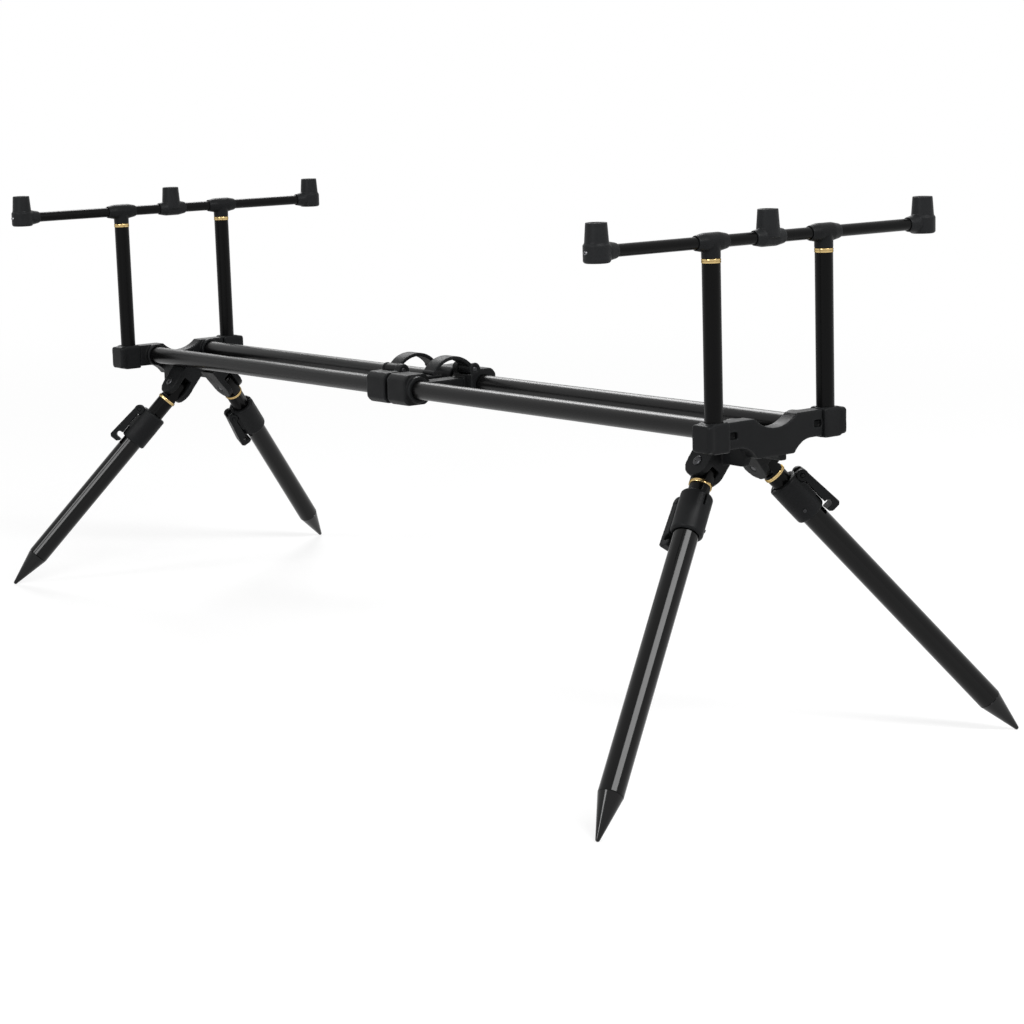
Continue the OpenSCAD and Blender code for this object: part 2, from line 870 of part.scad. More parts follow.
// Lock collar with its split grip, the lever's lug and the lever pin
module lock(end, side, turn) {
    head_half = lever_w / 2 + side_gap;
    pin_half = lever_w / 2 + pin_proud;
    color(moulding)
        stand()
            lock_axis(end, side, turn) {
                difference() {
                    union() {
                        difference() {
                            union() {
                                chamfered_cylinder(lock_at(end), lock_length, lock_r, lock_chamfer);
                                translate([0, -lever_w / 2, lock_at(end) + lock_chamfer])
                                    cube([lock_r - pad_step, lever_w, pad_length]);
                            }
                            translate([lever_pin_out, 0, lever_pin_at(end)])
                                rod_y(-head_half, 2 * head_half, cam_r + cam_gap);
                        }
                        translate([0, -lug_t / 2, lever_pin_at(end)]) {
                            translate([lever_pin_out, 0, 0])
                                rod_y(0, lug_t, lug_r);
                            translate([0, 0, -lug_r])
                                cube([lever_pin_out, lug_t, 2 * lug_r]);
                        }
                    }
                    translate([0, 0, lock_at(end) - cut])
                        cylinder(h = grip_length + 2 * cut, r = upper_r + run_gap);
                    translate([0, 0, lower_at(end)])
                        cylinder(h = lock_length, r = lower_r + fix_gap);
                    translate([-lever_pin_out, -split_w / 2, lock_at(end) - cut])
                        cube([lever_pin_out, split_w, grip_length + cut]);
                }
                translate([lever_pin_out, 0, lever_pin_at(end)])
                    rod_y(-pin_half, 2 * pin_half, lever_pin_d / 2);
            }
}

// Outline of a lock lever's wedge-shaped arm with its hooked tip, in x and z from its pin
module lever_outline() {
    inner_x = lock_r + cam_gap - lever_pin_out;
    neck_z = cam_r + cam_gap;
    hook_x = lower_r + hook_gap - lever_pin_out;
    hook_z = lever_length - hook_t / 2;
    difference() {
        polygon([
            [0, 0],
            [inner_x, neck_z],
            [inner_x, lever_length - hook_t],
            [hook_x, lever_length - hook_t],
            [hook_x, hook_z],
            [hook_x + hook_t / 2, lever_length],
            [cam_r + tail_kick - hook_t / 2, lever_length],
            [cam_r + tail_kick, hook_z],
            [cam_r - cam_gap, 0]
        ]);
        translate([inner_x + notch_in, lever_length - hook_t - notch_r])
            circle(notch_r);
    }
}

// Room that the lever needs round its lug to swing open
module lug_room() {
    room = lug_r + cam_gap;
    circle(room);
    translate([-2 * room, -2 * room])
        square([3 * room, 2 * room]);
    translate([-2 * room, -2 * room])
        square([2 * room, 3 * room]);
}

// Cam lever of a leg lock, forked round its lug
module lever(end, side, turn) {
    slot = lug_t + 2 * side_gap;
    color(moulding)
        stand()
            lock_axis(end, side, turn)
                translate([lever_pin_out, 0, lever_pin_at(end)])
                    difference() {
                        union() {
                            rod_y(-lever_w / 2, lever_w, cam_r);
                            translate([0, lever_w / 2, 0])
                                rotate([90, 0, 0])
                                    linear_extrude(lever_w)
                                        lever_outline();
                        }
                        translate([0, slot / 2, 0])
                            rotate([90, 0, 0])
                                linear_extrude(slot)
                                    lug_room();
                        rod_y(-lever_w, 2 * lever_w, lever_pin_d / 2 + run_gap);
                    }
}

// Pointed foot, plugged into the lower tube
module foot(end, side, length) {
    color(moulding)
        stand()
            leg_axis(end, side) {
                translate([0, 0, length - foot_length])
                    cylinder(h = foot_length - tip_r, r1 = lower_r, r2 = tip_r);
                translate([0, 0, length - tip_r])
                    sphere(r = tip_r);
                translate([0, 0, length - foot_length - foot_plug])
                    cylinder(h = foot_plug + cut, r = lower_bore_r - fix_gap);
            }
}

bracket(rear, right);  // rear_bracket
bracket(front, left);  // front_bracket
rail(left);  // rail_left
rail(right);  // rail_right
clamp(rear);  // rear_clamp
clamp(front);  // front_clamp
clamp_lever(rear);  // rear_clamp_lever
clamp_lever(front);  // front_clamp_lever
clamp_pin(rear);  // rear_clamp_pin
clamp_pin(front);  // front_clamp_pin
leg_pins(rear);  // rear_leg_pins
leg_pins(front);  // front_leg_pins
post_block(rear, left);  // rear_left_block
post_block(rear, right);  // rear_right_block
upright(rear, left);  // rear_left_upright
upright(rear, right);  // rear_right_upright
post_rings(rear);  // rear_post_rings
tee(rear, left);  // rear_left_tee
tee(rear, right);  // rear_right_tee
cross_bar(rear);  // rear_bar
outer_socket(rear, left);  // rear_left_socket
centre_socket(rear);  // rear_centre_socket
outer_socket(rear, right);  // rear_right_socket
inserts(rear);  // rear_inserts
post_block(front, left);  // front_left_block
post_block(front, right);  // front_right_block
upright(front, left);  // front_left_upright
upright(front, right);  // front_right_upright
post_rings(front);  // front_post_rings
tee(front, left);  // front_left_tee
tee(front, right);  // front_right_tee
cross_bar(front);  // front_bar
outer_socket(front, left);  // front_left_socket
centre_socket(front);  // front_centre_socket
outer_socket(front, right);  // front_right_socket
inserts(front);  // front_inserts
leg_tube(rear, left);  // rear_left_leg_tube
leg_ring(rear, left);  // rear_left_leg_ring
lower_tube(rear, left, rear_leg_length);  // rear_left_lower_tube
lock(rear, left, lever_turn_rear_left);  // rear_left_lock
lever(rear, left, lever_turn_rear_left);  // rear_left_lever
foot(rear, left, rear_leg_length);  // rear_left_foot
leg_tube(rear, right);  // rear_right_leg_tube
leg_ring(rear, right);  // rear_right_leg_ring
lower_tube(rear, right, rear_leg_length);  // rear_right_lower_tube
lock(rear, right, lever_turn_rear_right);  // rear_right_lock
lever(rear, right, lever_turn_rear_right);  // rear_right_lever
foot(rear, right, rear_leg_length);  // rear_right_foot
leg_tube(front, left);  // front_left_leg_tube
leg_ring(front, left);  // front_left_leg_ring
lower_tube(front, left, front_leg_length);  // front_left_lower_tube
lock(front, left, lever_turn_front_left);  // front_left_lock
lever(front, left, lever_turn_front_left);  // front_left_lever
foot(front, left, front_leg_length);  // front_left_foot
leg_tube(front, right);  // front_right_leg_tube
leg_ring(front, right);  // front_right_leg_ring
lower_tube(front, right, front_leg_length);  // front_right_lower_tube
lock(front, right, lever_turn_front_right);  // front_right_lock
lever(front, right, lever_turn_front_right);  // front_right_lever
foot(front, right, front_leg_length);  // front_right_foot
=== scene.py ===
"""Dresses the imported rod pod: rounded mouldings, drawn tubes, turned rings, threaded inserts and a studio."""

import json
import math

import bmesh
import bpy
import numpy as np
from bpy.props import FloatProperty, FloatVectorProperty, IntProperty, PointerProperty
from mathutils import Matrix, Vector

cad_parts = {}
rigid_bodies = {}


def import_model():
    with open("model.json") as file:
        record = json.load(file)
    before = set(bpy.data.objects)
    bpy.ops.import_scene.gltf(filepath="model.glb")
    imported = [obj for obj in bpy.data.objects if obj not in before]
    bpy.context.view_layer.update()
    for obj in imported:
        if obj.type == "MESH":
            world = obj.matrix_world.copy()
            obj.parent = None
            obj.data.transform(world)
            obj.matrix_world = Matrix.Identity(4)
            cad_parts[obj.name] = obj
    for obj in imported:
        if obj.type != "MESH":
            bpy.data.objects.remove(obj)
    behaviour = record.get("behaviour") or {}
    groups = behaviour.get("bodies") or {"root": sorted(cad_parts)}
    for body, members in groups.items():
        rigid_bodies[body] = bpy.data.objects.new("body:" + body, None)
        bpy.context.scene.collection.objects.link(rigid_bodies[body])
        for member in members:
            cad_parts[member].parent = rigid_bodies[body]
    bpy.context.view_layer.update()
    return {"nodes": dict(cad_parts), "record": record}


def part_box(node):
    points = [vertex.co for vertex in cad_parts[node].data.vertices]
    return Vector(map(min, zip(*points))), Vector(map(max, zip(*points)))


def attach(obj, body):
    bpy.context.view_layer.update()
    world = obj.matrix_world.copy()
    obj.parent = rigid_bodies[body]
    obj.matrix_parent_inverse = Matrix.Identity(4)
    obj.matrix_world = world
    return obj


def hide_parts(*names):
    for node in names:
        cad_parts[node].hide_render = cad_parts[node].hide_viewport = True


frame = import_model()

bl_info = {
    "name": "Rod pod dressing",
    "version": (1, 0, 0),
    "blender": (4, 5, 0),
    "location": "3D View > Sidebar > Rod pod",
    "description": "Builds the looks of a folding rod pod round its CAD model",
    "category": "Object",
}

ENDS = ("rear", "front")
SIDES = ("left", "right")
LEGS = tuple(f"{end}_{side}" for end in ENDS for side in SIDES)
JOINTS = {joint["name"]: joint for joint in frame["record"]["behaviour"]["joints"]}
RAIL_AXIS = Vector(JOINTS["length_slide"]["axis"]).normalized()
BAR_AXIS = Vector((0, 1, 0))
POST_AXIS = RAIL_AXIS.cross(BAR_AXIS).normalized()

# Mesh size of the small mouldings, in metres
FINE_SKIN = 0.0006
LOCK_SKIN = 0.0007
# Passes that round the edges of the small mouldings, and of the post blocks
FINE_SOFTNESS = 6
BLOCK_SOFTNESS = 50
# Points of the CAD meshes that lie this close count as level, or as the same rim
LEVEL = 1e-5
RIM_BAND = 1e-4
# Mesh of the threads in the inserts, and of the rounded tips of the feet
THREAD_COLUMNS = 49
THREAD_ROWS_PER_TURN = 8
TIP_STEPS = 6
# Length of a lock's lower end, where the seat of its screw is measured
LOCK_END = 0.004
# Share of the light that the floor gives back to the object
FLOOR_SHADE = 0.8
# Where the floor is seen: how much of its white glows, and how much is lit and so takes shadows
FLOOR_GLOW = 0.72
FLOOR_LIT = 0.32
# Distances from the middle of the floor over which it fades to plain white
FLOOR_FADE = (0.9, 2.6)
# Soft boxes: name, place, direction of the long side, length, width, power
SOFT_BOXES = (
    ("high_box", (2.609, 0.047, 3.107), (0.545, 0.784, -0.296), 2.75, 0.95, 105),
    ("left_box", (1.068, -3.48, 1.743), (0.867, 0.173, -0.467), 1.75, 0.6, 38),
)
# Far lamps: name, direction to the lamp, level, angle in degrees
FAR_LAMPS = (
    ("far_left_lamp", (-0.07, -0.79, 0.61), 0.6, 15),
    ("back_lamp", (-0.68, 0.38, 0.6), 1.5, 25),
)


class PodFinishes(bpy.types.PropertyGroup):
    """Colours and finishes of the rod pod"""

    moulding_colour: FloatVectorProperty(
        name="Moulding", description="Colour of the moulded fittings",
        subtype="COLOR", size=3, min=0, max=1, default=(0.0062, 0.0065, 0.0069))
    moulding_worn: FloatVectorProperty(
        name="Worn moulding", description="Colour of the mouldings where their edges are rubbed",
        subtype="COLOR", size=3, min=0, max=1, default=(0.0145, 0.0152, 0.016))
    tube_colour: FloatVectorProperty(
        name="Tube", description="Colour of the anodised tubes",
        subtype="COLOR", size=3, min=0, max=1, default=(0.0016, 0.0016, 0.0017))
    gold_colour: FloatVectorProperty(
        name="Gold ring", description="Colour of the trim rings",
        subtype="COLOR", size=3, min=0, max=1, default=(0.6, 0.44, 0.2))
    brass_colour: FloatVectorProperty(
        name="Brass", description="Colour of the threaded inserts",
        subtype="COLOR", size=3, min=0, max=1, default=(0.66, 0.47, 0.2))
    steel_colour: FloatVectorProperty(
        name="Steel", description="Colour of the screws in the sockets",
        subtype="COLOR", size=3, min=0, max=1, default=(0.2, 0.2, 0.21))
    blacked_colour: FloatVectorProperty(
        name="Blacked steel", description="Colour of the blacked pins and lock screws",
        subtype="COLOR", size=3, min=0, max=1, default=(0.05, 0.05, 0.053))
    grain_size: FloatProperty(
        name="Grain size", description="Size of the mouldings' surface grain",
        unit="LENGTH", default=0.0007, min=0.0001, max=0.005)


class PodShapes(bpy.types.PropertyGroup):
    """Sizes of the details that the dressing adds"""

    skin: FloatProperty(
        name="Skin", description="Mesh size of the rounded mouldings",
        unit="LENGTH", default=0.0008, min=0.0004, max=0.003)
    softness: IntProperty(
        name="Softness", description="Passes that round the mouldings' edges",
        default=8, min=0, max=40)
    facets: IntProperty(
        name="Facets", description="Facets round a turned piece",
        default=64, min=16, max=128)
    rim: FloatProperty(
        name="Rim", description="Chamfer on the rims of the tubes",
        unit="LENGTH", default=0.0004, min=0.0001, max=0.002)
    tip_radius: FloatProperty(
        name="Tip", description="Least radius of the rounded tips of the feet",
        unit="LENGTH", default=0.002, min=0.0005, max=0.004)
    thread_pitch: FloatProperty(
        name="Thread pitch", description="Pitch of the threads in the inserts",
        unit="LENGTH", default=0.00127, min=0.0005, max=0.003)
    thread_depth: FloatProperty(
        name="Thread depth", description="Depth of the threads in the inserts",
        unit="LENGTH", default=0.0007, min=0.0002, max=0.0015)
    screw_radius: FloatProperty(
        name="Screw radius", description="Radius of the small socket screws",
        unit="LENGTH", default=0.0018, min=0.001, max=0.004)
    screw_turn: FloatProperty(
        name="Screw turn", description="Turn of a lock's screw round its leg, from the lever, in degrees",
        default=105, min=30, max=330)
    screw_inset: FloatProperty(
        name="Screw inset", description="Distance of a lock's screw from the lock's lower end",
        unit="LENGTH", default=0.0105, min=0.005, max=0.02)


class PodStage(bpy.types.PropertyGroup):
    """Camera, floor and lamps"""

    camera_place: FloatVectorProperty(
        name="Camera", description="Where the camera stands",
        subtype="TRANSLATION", size=3, default=(2.0576, -1.5287, 0.6952))
    camera_back: FloatVectorProperty(
        name="Camera back", description="Direction from the view's centre to the camera",
        subtype="DIRECTION", size=3, default=(0.76952, -0.60347, 0.20906))
    lens: FloatProperty(
        name="Lens", description="Focal length of the camera",
        subtype="DISTANCE_CAMERA", default=90.9, min=20, max=300)
    floor_size: FloatProperty(
        name="Floor", description="Side of the floor",
        unit="LENGTH", default=120.0, min=5, max=500)
    ambient: FloatProperty(
        name="Ambient", description="Level of the light from all round",
        default=0.12, min=0, max=1)


def finishes():
    return bpy.context.scene.pod_finishes


def shapes():
    return bpy.context.scene.pod_shapes


def body_of(node):
    """Name of the body that a CAD node rides on."""
    return frame["nodes"][node].parent.name.split(":", 1)[1]


def new_object(name, mesh):
    obj = bpy.data.objects.new(name, mesh)
    bpy.context.scene.collection.objects.link(obj)
    return obj


def baked(obj):
    """Turns an object's modifiers into plain mesh."""
    bpy.context.view_layer.update()
    depsgraph = bpy.context.evaluated_depsgraph_get()
    mesh = bpy.data.meshes.new_from_object(obj.evaluated_get(depsgraph))
    obj.modifiers.clear()
    obj.data = mesh
    return obj


def merged_copy(node):
    """Closed mesh of a CAD node, as a new piece."""
    mesh = bpy.data.meshes.new(node + ".mesh")
    bm = bmesh.new()
    bm.from_mesh(frame["nodes"][node].data)
    for layer in list(bm.loops.layers.uv):
        bm.loops.layers.uv.remove(layer)
    bmesh.ops.remove_doubles(bm, verts=bm.verts, dist=1e-6)
    bm.to_mesh(mesh)
    bm.free()
    mesh.materials.clear()
    return new_object(node + ".dressed", mesh)


def points_of(node):
    mesh = frame["nodes"][node].data
    flat = np.empty(len(mesh.vertices) * 3)
    mesh.vertices.foreach_get("co", flat)
    return flat.reshape(-1, 3)


def smoothed(mesh, degrees):
    """Shades a mesh smooth, apart from edges sharper than an angle."""
    mesh.shade_smooth()
    mesh.set_sharp_from_angle(angle=math.radians(degrees))


def settle(obj, node_names, finish, body=None):
    """Gives a piece its finish and its body, and hides the CAD nodes that it stands for."""
    obj.data.materials.clear()
    obj.data.materials.append(finish)
    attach(obj, body or body_of(node_names[0]))
    if node_names:
        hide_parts(*node_names)
    return obj


def mark_edges(mesh):
    """Stores how far each point stands out from its neighbours, for the wear on the edges and the painted shade
    in inner corners.
    """
    count = len(mesh.vertices)
    places = np.empty(count * 3)
    mesh.vertices.foreach_get("co", places)
    places = places.reshape(-1, 3)
    normals = np.empty(count * 3)
    mesh.vertex_normals.foreach_get("vector", normals)
    normals = normals.reshape(-1, 3)
    pairs = np.empty(len(mesh.edges) * 2, dtype=np.int64)
    mesh.edges.foreach_get("vertices", pairs)
    first, second = pairs.reshape(-1, 2).T
    degree = np.maximum(np.bincount(pairs, minlength=count), 1)
    step = np.linalg.norm(places[first] - places[second], axis=1).mean()

    def average(values):
        total = np.zeros_like(values)
        np.add.at(total, first, values[second])
        np.add.at(total, second, values[first])
        return total / (degree if values.ndim == 1 else degree[:, None])

    edge = ((places - average(places)) * normals).sum(axis=1) / step
    for _ in range(2):
        edge = (edge + average(edge)) / 2
    mesh.attributes.new("edge", "FLOAT", "POINT").data.foreach_set("value", edge)


def moulded(node, skin=None, softness=None, finish=None):
    """A CAD moulding with the rounded edges and fillets that a mould leaves."""
    obj = merged_copy(node)
    remesh = obj.modifiers.new("skin", "REMESH")
    remesh.mode = "VOXEL"
    remesh.voxel_size = skin or shapes().skin
    smooth = obj.modifiers.new("soft", "SMOOTH")
    smooth.factor = 0.5
    smooth.iterations = shapes().softness if softness is None else softness
    baked(obj)
    obj.data.shade_smooth()
    mark_edges(obj.data)
    return settle(obj, [node], finish or moulding_finish())


def turned_mesh(name, origin, axis, outline, facets, closed):
    """Surface of revolution; the outline holds pairs of along and radius, and the UVs run round and along."""
    axis = axis.normalized()
    across = axis.orthogonal().normalized()
    third = axis.cross(across)
    bm = bmesh.new()
    uv = bm.loops.layers.uv.new("finish")
    rings = []
    for along, radius in outline:
        centre = origin + axis * along
        if radius < 1e-7:
            rings.append([bm.verts.new(centre)] * facets)
            continue
        ring = []
        for i in range(facets):
            turn = 2 * math.pi * i / facets
            out = across * math.cos(turn) + third * math.sin(turn)
            ring.append(bm.verts.new(centre + out * radius))
        rings.append(ring)
    spans = len(outline) if closed else len(outline) - 1
    for k in range(spans):
        low, high = rings[k], rings[(k + 1) % len(rings)]
        for i in range(facets):
            j = (i + 1) % facets
            corners = [(low[i], i, k), (low[j], i + 1, k), (high[j], i + 1, k + 1), (high[i], i, k + 1)]
            unique = []
            for corner in corners:
                if corner[0] not in [c[0] for c in unique]:
                    unique.append(corner)
            face = bm.faces.new([c[0] for c in unique])
            for loop, (_, turn, row) in zip(face.loops, unique):
                loop[uv].uv = (turn / facets, outline[row % len(outline)][0])
    bmesh.ops.recalc_face_normals(bm, faces=bm.faces)
    mesh = bpy.data.meshes.new(name)
    bm.to_mesh(mesh)
    bm.free()
    smoothed(mesh, 30)
    return mesh


def stations(points, origin, axis):
    """Distance along an axis and from it, for each point."""
    offset = points - np.array(origin)
    along = offset @ np.array(axis)
    return along, np.linalg.norm(offset - np.outer(along, axis), axis=1)


def measured_tube(points, axis):
    """Origin, length, outer and inner radius of a tube's points along an axis."""
    along = points @ np.array(axis)
    rim = points[along < along.min() + RIM_BAND]
    origin = rim.mean(axis=0)
    along, radial = stations(points, origin, axis)
    return Vector(origin), along.max(), radial.max(), radial.min()


def wrap_uv(mesh, origin, axis):
    """UVs that run round an axis and along it."""
    across = axis.orthogonal().normalized()
    third = axis.cross(across)
    layer = mesh.uv_layers.new(name="finish")
    for face in mesh.polygons:
        offsets = [mesh.vertices[mesh.loops[corner].vertex_index].co - origin for corner in face.loop_indices]
        turns = [math.atan2(at.dot(third), at.dot(across)) / (2 * math.pi) % 1 for at in offsets]
        for corner, offset, turn in zip(face.loop_indices, offsets, turns):
            wrapped = turn + 1 if max(turns) - turn > 0.5 else turn
            layer.data[corner].uv = (wrapped, offset.dot(axis))


def joined(name, meshes):
    """One mesh of several."""
    bm = bmesh.new()
    for mesh in meshes:
        bm.from_mesh(mesh)
        bpy.data.meshes.remove(mesh)
    made = bpy.data.meshes.new(name)
    bm.to_mesh(made)
    bm.free()
    return made


def trim_ring(points, axis, name):
    """A turned ring with rounded edges and a groove round its middle."""
    origin, h, outer, inner = measured_tube(points, axis)
    soft, groove = 0.14 * h, 0.1 * h
    outline = [
        (0, inner), (0, outer - soft), (0.3 * soft, outer - 0.3 * soft), (soft, outer),
        (0.42 * h, outer), (0.46 * h, outer - groove), (0.54 * h, outer - groove), (0.58 * h, outer),
        (h - soft, outer), (h - 0.3 * soft, outer - 0.3 * soft), (h, outer - soft), (h, inner)]
    return turned_mesh(name, origin, axis, outline, shapes().facets, True)


def drawn_tube(node, axis, finish):
    """A tube with chamfered rims in place of a tube node."""
    axis = axis.normalized()
    origin, length, outer, inner = measured_tube(points_of(node), axis)
    rim = min(shapes().rim, (outer - inner) / 3)
    outline = [
        (0, inner + rim), (0, outer - rim), (rim, outer), (length - rim, outer),
        (length, outer - rim), (length, inner + rim), (length - rim, inner), (rim, inner)]
    mesh = turned_mesh(node + ".mesh", origin, axis, outline, shapes().facets, True)
    return settle(new_object(node + ".dressed", mesh), [node], finish)


def socket(tree, name, kind, into=True, default=None):
    made = tree.interface.new_socket(name=name, in_out="INPUT" if into else "OUTPUT", socket_type=kind)
    if default is not None:
        made.default_value = default
    return made


def node_in(tree, kind, **values):
    node = tree.nodes.new(kind)
    for key, value in values.items():
        setattr(node, key, value)
    return node


def math_in(tree, operation, a, b=None, clamp=False):
    """A Math node on two sockets or numbers; returns its output."""
    node = node_in(tree, "ShaderNodeMath", operation=operation, use_clamp=clamp)
    for slot, value in zip(node.inputs, (a, b)):
        if value is None:
            continue
        if isinstance(value, (int, float)):
            slot.default_value = value
        else:
            tree.links.new(value, slot)
    return node.outputs[0]


def noise_in(tree, place, detail, scale=5.0, roughness=0.5):
    """A Noise Texture node at a place."""
    noise = node_in(tree, "ShaderNodeTexNoise")
    noise.inputs["Scale"].default_value = scale
    noise.inputs["Detail"].default_value = detail
    noise.inputs["Roughness"].default_value = roughness
    tree.links.new(place, noise.inputs["Vector"])
    return noise


def shader_group(name, inputs, outputs):
    """A new shader node group with named sockets, its input node and its output node."""
    tree = bpy.data.node_groups.new(name, "ShaderNodeTree")
    for label, kind, default in inputs:
        socket(tree, label, kind, True, default)
    for label, kind in outputs:
        socket(tree, label, kind, False)
    return tree, node_in(tree, "NodeGroupInput"), node_in(tree, "NodeGroupOutput")


def moulded_grain_group():
    """Fine spark-eroded grain, with slow changes of tone and gloss, from Object coordinates."""
    if "moulded_grain" in bpy.data.node_groups:
        return bpy.data.node_groups["moulded_grain"]
    tree, given, result = shader_group(
        "moulded_grain",
        [("Vector", "NodeSocketVector", None), ("Grain Size", "NodeSocketFloat", 0.0007)],
        [("Height", "NodeSocketFloat"), ("Tone", "NodeSocketFloat"), ("Gloss", "NodeSocketFloat")])
    links = tree.links
    place = given.outputs["Vector"]
    fine = noise_in(tree, place, detail=3, roughness=0.6)
    links.new(math_in(tree, "DIVIDE", 1.0, given.outputs["Grain Size"]), fine.inputs["Scale"])
    slow = noise_in(tree, place, detail=5, scale=28, roughness=0.55)
    handled = noise_in(tree, place, detail=6, scale=75)
    links.new(fine.outputs["Fac"], result.inputs["Height"])
    tone = math_in(tree, "MULTIPLY", slow.outputs["Fac"], fine.outputs["Fac"])
    links.new(math_in(tree, "MULTIPLY", tone, 3.2, clamp=True), result.inputs["Tone"])
    gloss = math_in(tree, "SUBTRACT", handled.outputs["Fac"], 0.35)
    links.new(math_in(tree, "MULTIPLY", gloss, 3.0, clamp=True), result.inputs["Gloss"])
    return tree


def edge_rub_and_shade_group():
    """Masks of rubbed edges, broken up by noise, and of painted shade in inner corners, from the stored edge
    value.
    """
    if "edge_rub" in bpy.data.node_groups:
        return bpy.data.node_groups["edge_rub"]
    tree, given, result = shader_group(
        "edge_rub",
        [("Vector", "NodeSocketVector", None), ("Edge", "NodeSocketFloat", 0.0),
         ("Reach", "NodeSocketFloat", 0.2)],
        [("Mask", "NodeSocketFloat"), ("Corner", "NodeSocketFloat")])
    links = tree.links
    patch = noise_in(tree, given.outputs["Vector"], detail=4, scale=160)
    lift = math_in(tree, "DIVIDE", given.outputs["Edge"], given.outputs["Reach"], clamp=True)
    broken = math_in(tree, "MULTIPLY", lift, math_in(tree, "ADD", patch.outputs["Fac"], 0.3), clamp=True)
    links.new(broken, result.inputs["Mask"])
    # Painted shade: the further a point sinks below its neighbours, the darker it is painted
    sunk = math_in(tree, "DIVIDE", given.outputs["Edge"], given.outputs["Reach"])
    links.new(math_in(tree, "MULTIPLY", sunk, -1.5, clamp=True), result.inputs["Corner"])
    return tree


def drawn_lines_group():
    """Fine lines along a drawn tube or round a turned ring, from the piece's own UVs."""
    if "drawn_lines" in bpy.data.node_groups:
        return bpy.data.node_groups["drawn_lines"]
    tree, given, result = shader_group(
        "drawn_lines",
        [("UV", "NodeSocketVector", None), ("Round", "NodeSocketFloat", 60.0),
         ("Along", "NodeSocketFloat", 8.0)],
        [("Height", "NodeSocketFloat"), ("Smudge", "NodeSocketFloat")])
    links = tree.links
    parts = node_in(tree, "ShaderNodeSeparateXYZ")
    links.new(given.outputs["UV"], parts.inputs[0])
    turn = math_in(tree, "MULTIPLY", parts.outputs["X"], 2 * math.pi)
    fine, slow = (given.outputs["Round"], given.outputs["Along"]), (1.3, 9.0)
    for (round_scale, along_scale), out in ((fine, "Height"), (slow, "Smudge")):
        place = node_in(tree, "ShaderNodeCombineXYZ")
        links.new(math_in(tree, "MULTIPLY", math_in(tree, "COSINE", turn), round_scale), place.inputs["X"])
        links.new(math_in(tree, "MULTIPLY", math_in(tree, "SINE", turn), round_scale), place.inputs["Y"])
        links.new(math_in(tree, "MULTIPLY", parts.outputs["Y"], along_scale), place.inputs["Z"])
        noise = noise_in(tree, place.outputs[0], detail=3, scale=1.0)
        links.new(noise.outputs["Fac"], result.inputs[out])
    return tree


def new_finish(name):
    finish = bpy.data.materials.new(name)
    finish.use_nodes = True
    tree = finish.node_tree
    return finish, tree, tree.nodes["Principled BSDF"]


def scaled(colour, factor):
    """A colour made darker or lighter, as far as white."""
    return tuple(min(factor * v, 1) for v in colour)


def placed_group(tree, group, **links):
    """A group in a material, with its inputs set or linked; an underscore stands for a space."""
    node = node_in(tree, "ShaderNodeGroup")
    node.node_tree = group
    for label, source in links.items():
        slot = node.inputs[label.replace("_", " ")]
        if isinstance(source, (int, float)):
            slot.default_value = source
        else:
            tree.links.new(source, slot)
    return node


def ranged(tree, value, low, high):
    node = node_in(tree, "ShaderNodeMapRange")
    tree.links.new(value, node.inputs["Value"])
    node.inputs["To Min"].default_value = low
    node.inputs["To Max"].default_value = high
    return node.outputs["Result"]


def mixed(tree, factor, first, second):
    """Mixes two colours; each is a colour or an output socket."""
    node = node_in(tree, "ShaderNodeMix", data_type="RGBA")
    tree.links.new(factor, node.inputs["Factor"])
    for slot, colour in ((node.inputs[6], first), (node.inputs[7], second)):
        if hasattr(colour, "node"):
            tree.links.new(colour, slot)
        else:
            slot.default_value = (*colour, 1)
    return node.outputs[2]


def bumped(tree, shader, height, distance, strength):
    bump = node_in(tree, "ShaderNodeBump")
    bump.inputs["Distance"].default_value = distance
    bump.inputs["Strength"].default_value = strength
    tree.links.new(height, bump.inputs["Height"])
    tree.links.new(bump.outputs["Normal"], shader.inputs["Normal"])


def moulding_finish(name="moulded_nylon", shade=1.0):
    """Matt dark nylon with a fine grain, rubbed edges and painted shade in its inner corners; shade scales the
    colour, and lifts the sockets above the rest as painted light.
    """
    if name in bpy.data.materials:
        return bpy.data.materials[name]
    look = finishes()
    finish, tree, shader = new_finish(name)
    place = node_in(tree, "ShaderNodeTexCoord").outputs["Object"]
    grain = placed_group(tree, moulded_grain_group(), Vector=place, Grain_Size=look.grain_size)
    edge = node_in(tree, "ShaderNodeAttribute", attribute_name="edge")
    rub_and_shade = placed_group(tree, edge_rub_and_shade_group(), Vector=place, Edge=edge.outputs["Fac"], Reach=0.22)
    base = scaled(look.moulding_colour, shade)
    tone = mixed(tree, grain.outputs["Tone"], scaled(base, 0.8), scaled(base, 1.45))
    # Painted shade: inner corners and hollows are darkened to a fifth of the colour
    tone = mixed(tree, rub_and_shade.outputs["Corner"], tone, scaled(base, 0.2))
    tone = mixed(tree, rub_and_shade.outputs["Mask"], tone, tuple(look.moulding_worn))
    tree.links.new(tone, shader.inputs["Base Color"])
    tree.links.new(ranged(tree, grain.outputs["Gloss"], 0.48, 0.34), shader.inputs["Roughness"])
    shader.inputs["Specular IOR Level"].default_value = 0.08
    bumped(tree, shader, grain.outputs["Height"], distance=0.00012, strength=0.35)
    return finish


# Painted light: the sockets take the moulding colour 1.7 times lighter, for the light that falls on their cups
def painted_light_socket_finish():
    return moulding_finish("socket_nylon", shade=1.7)


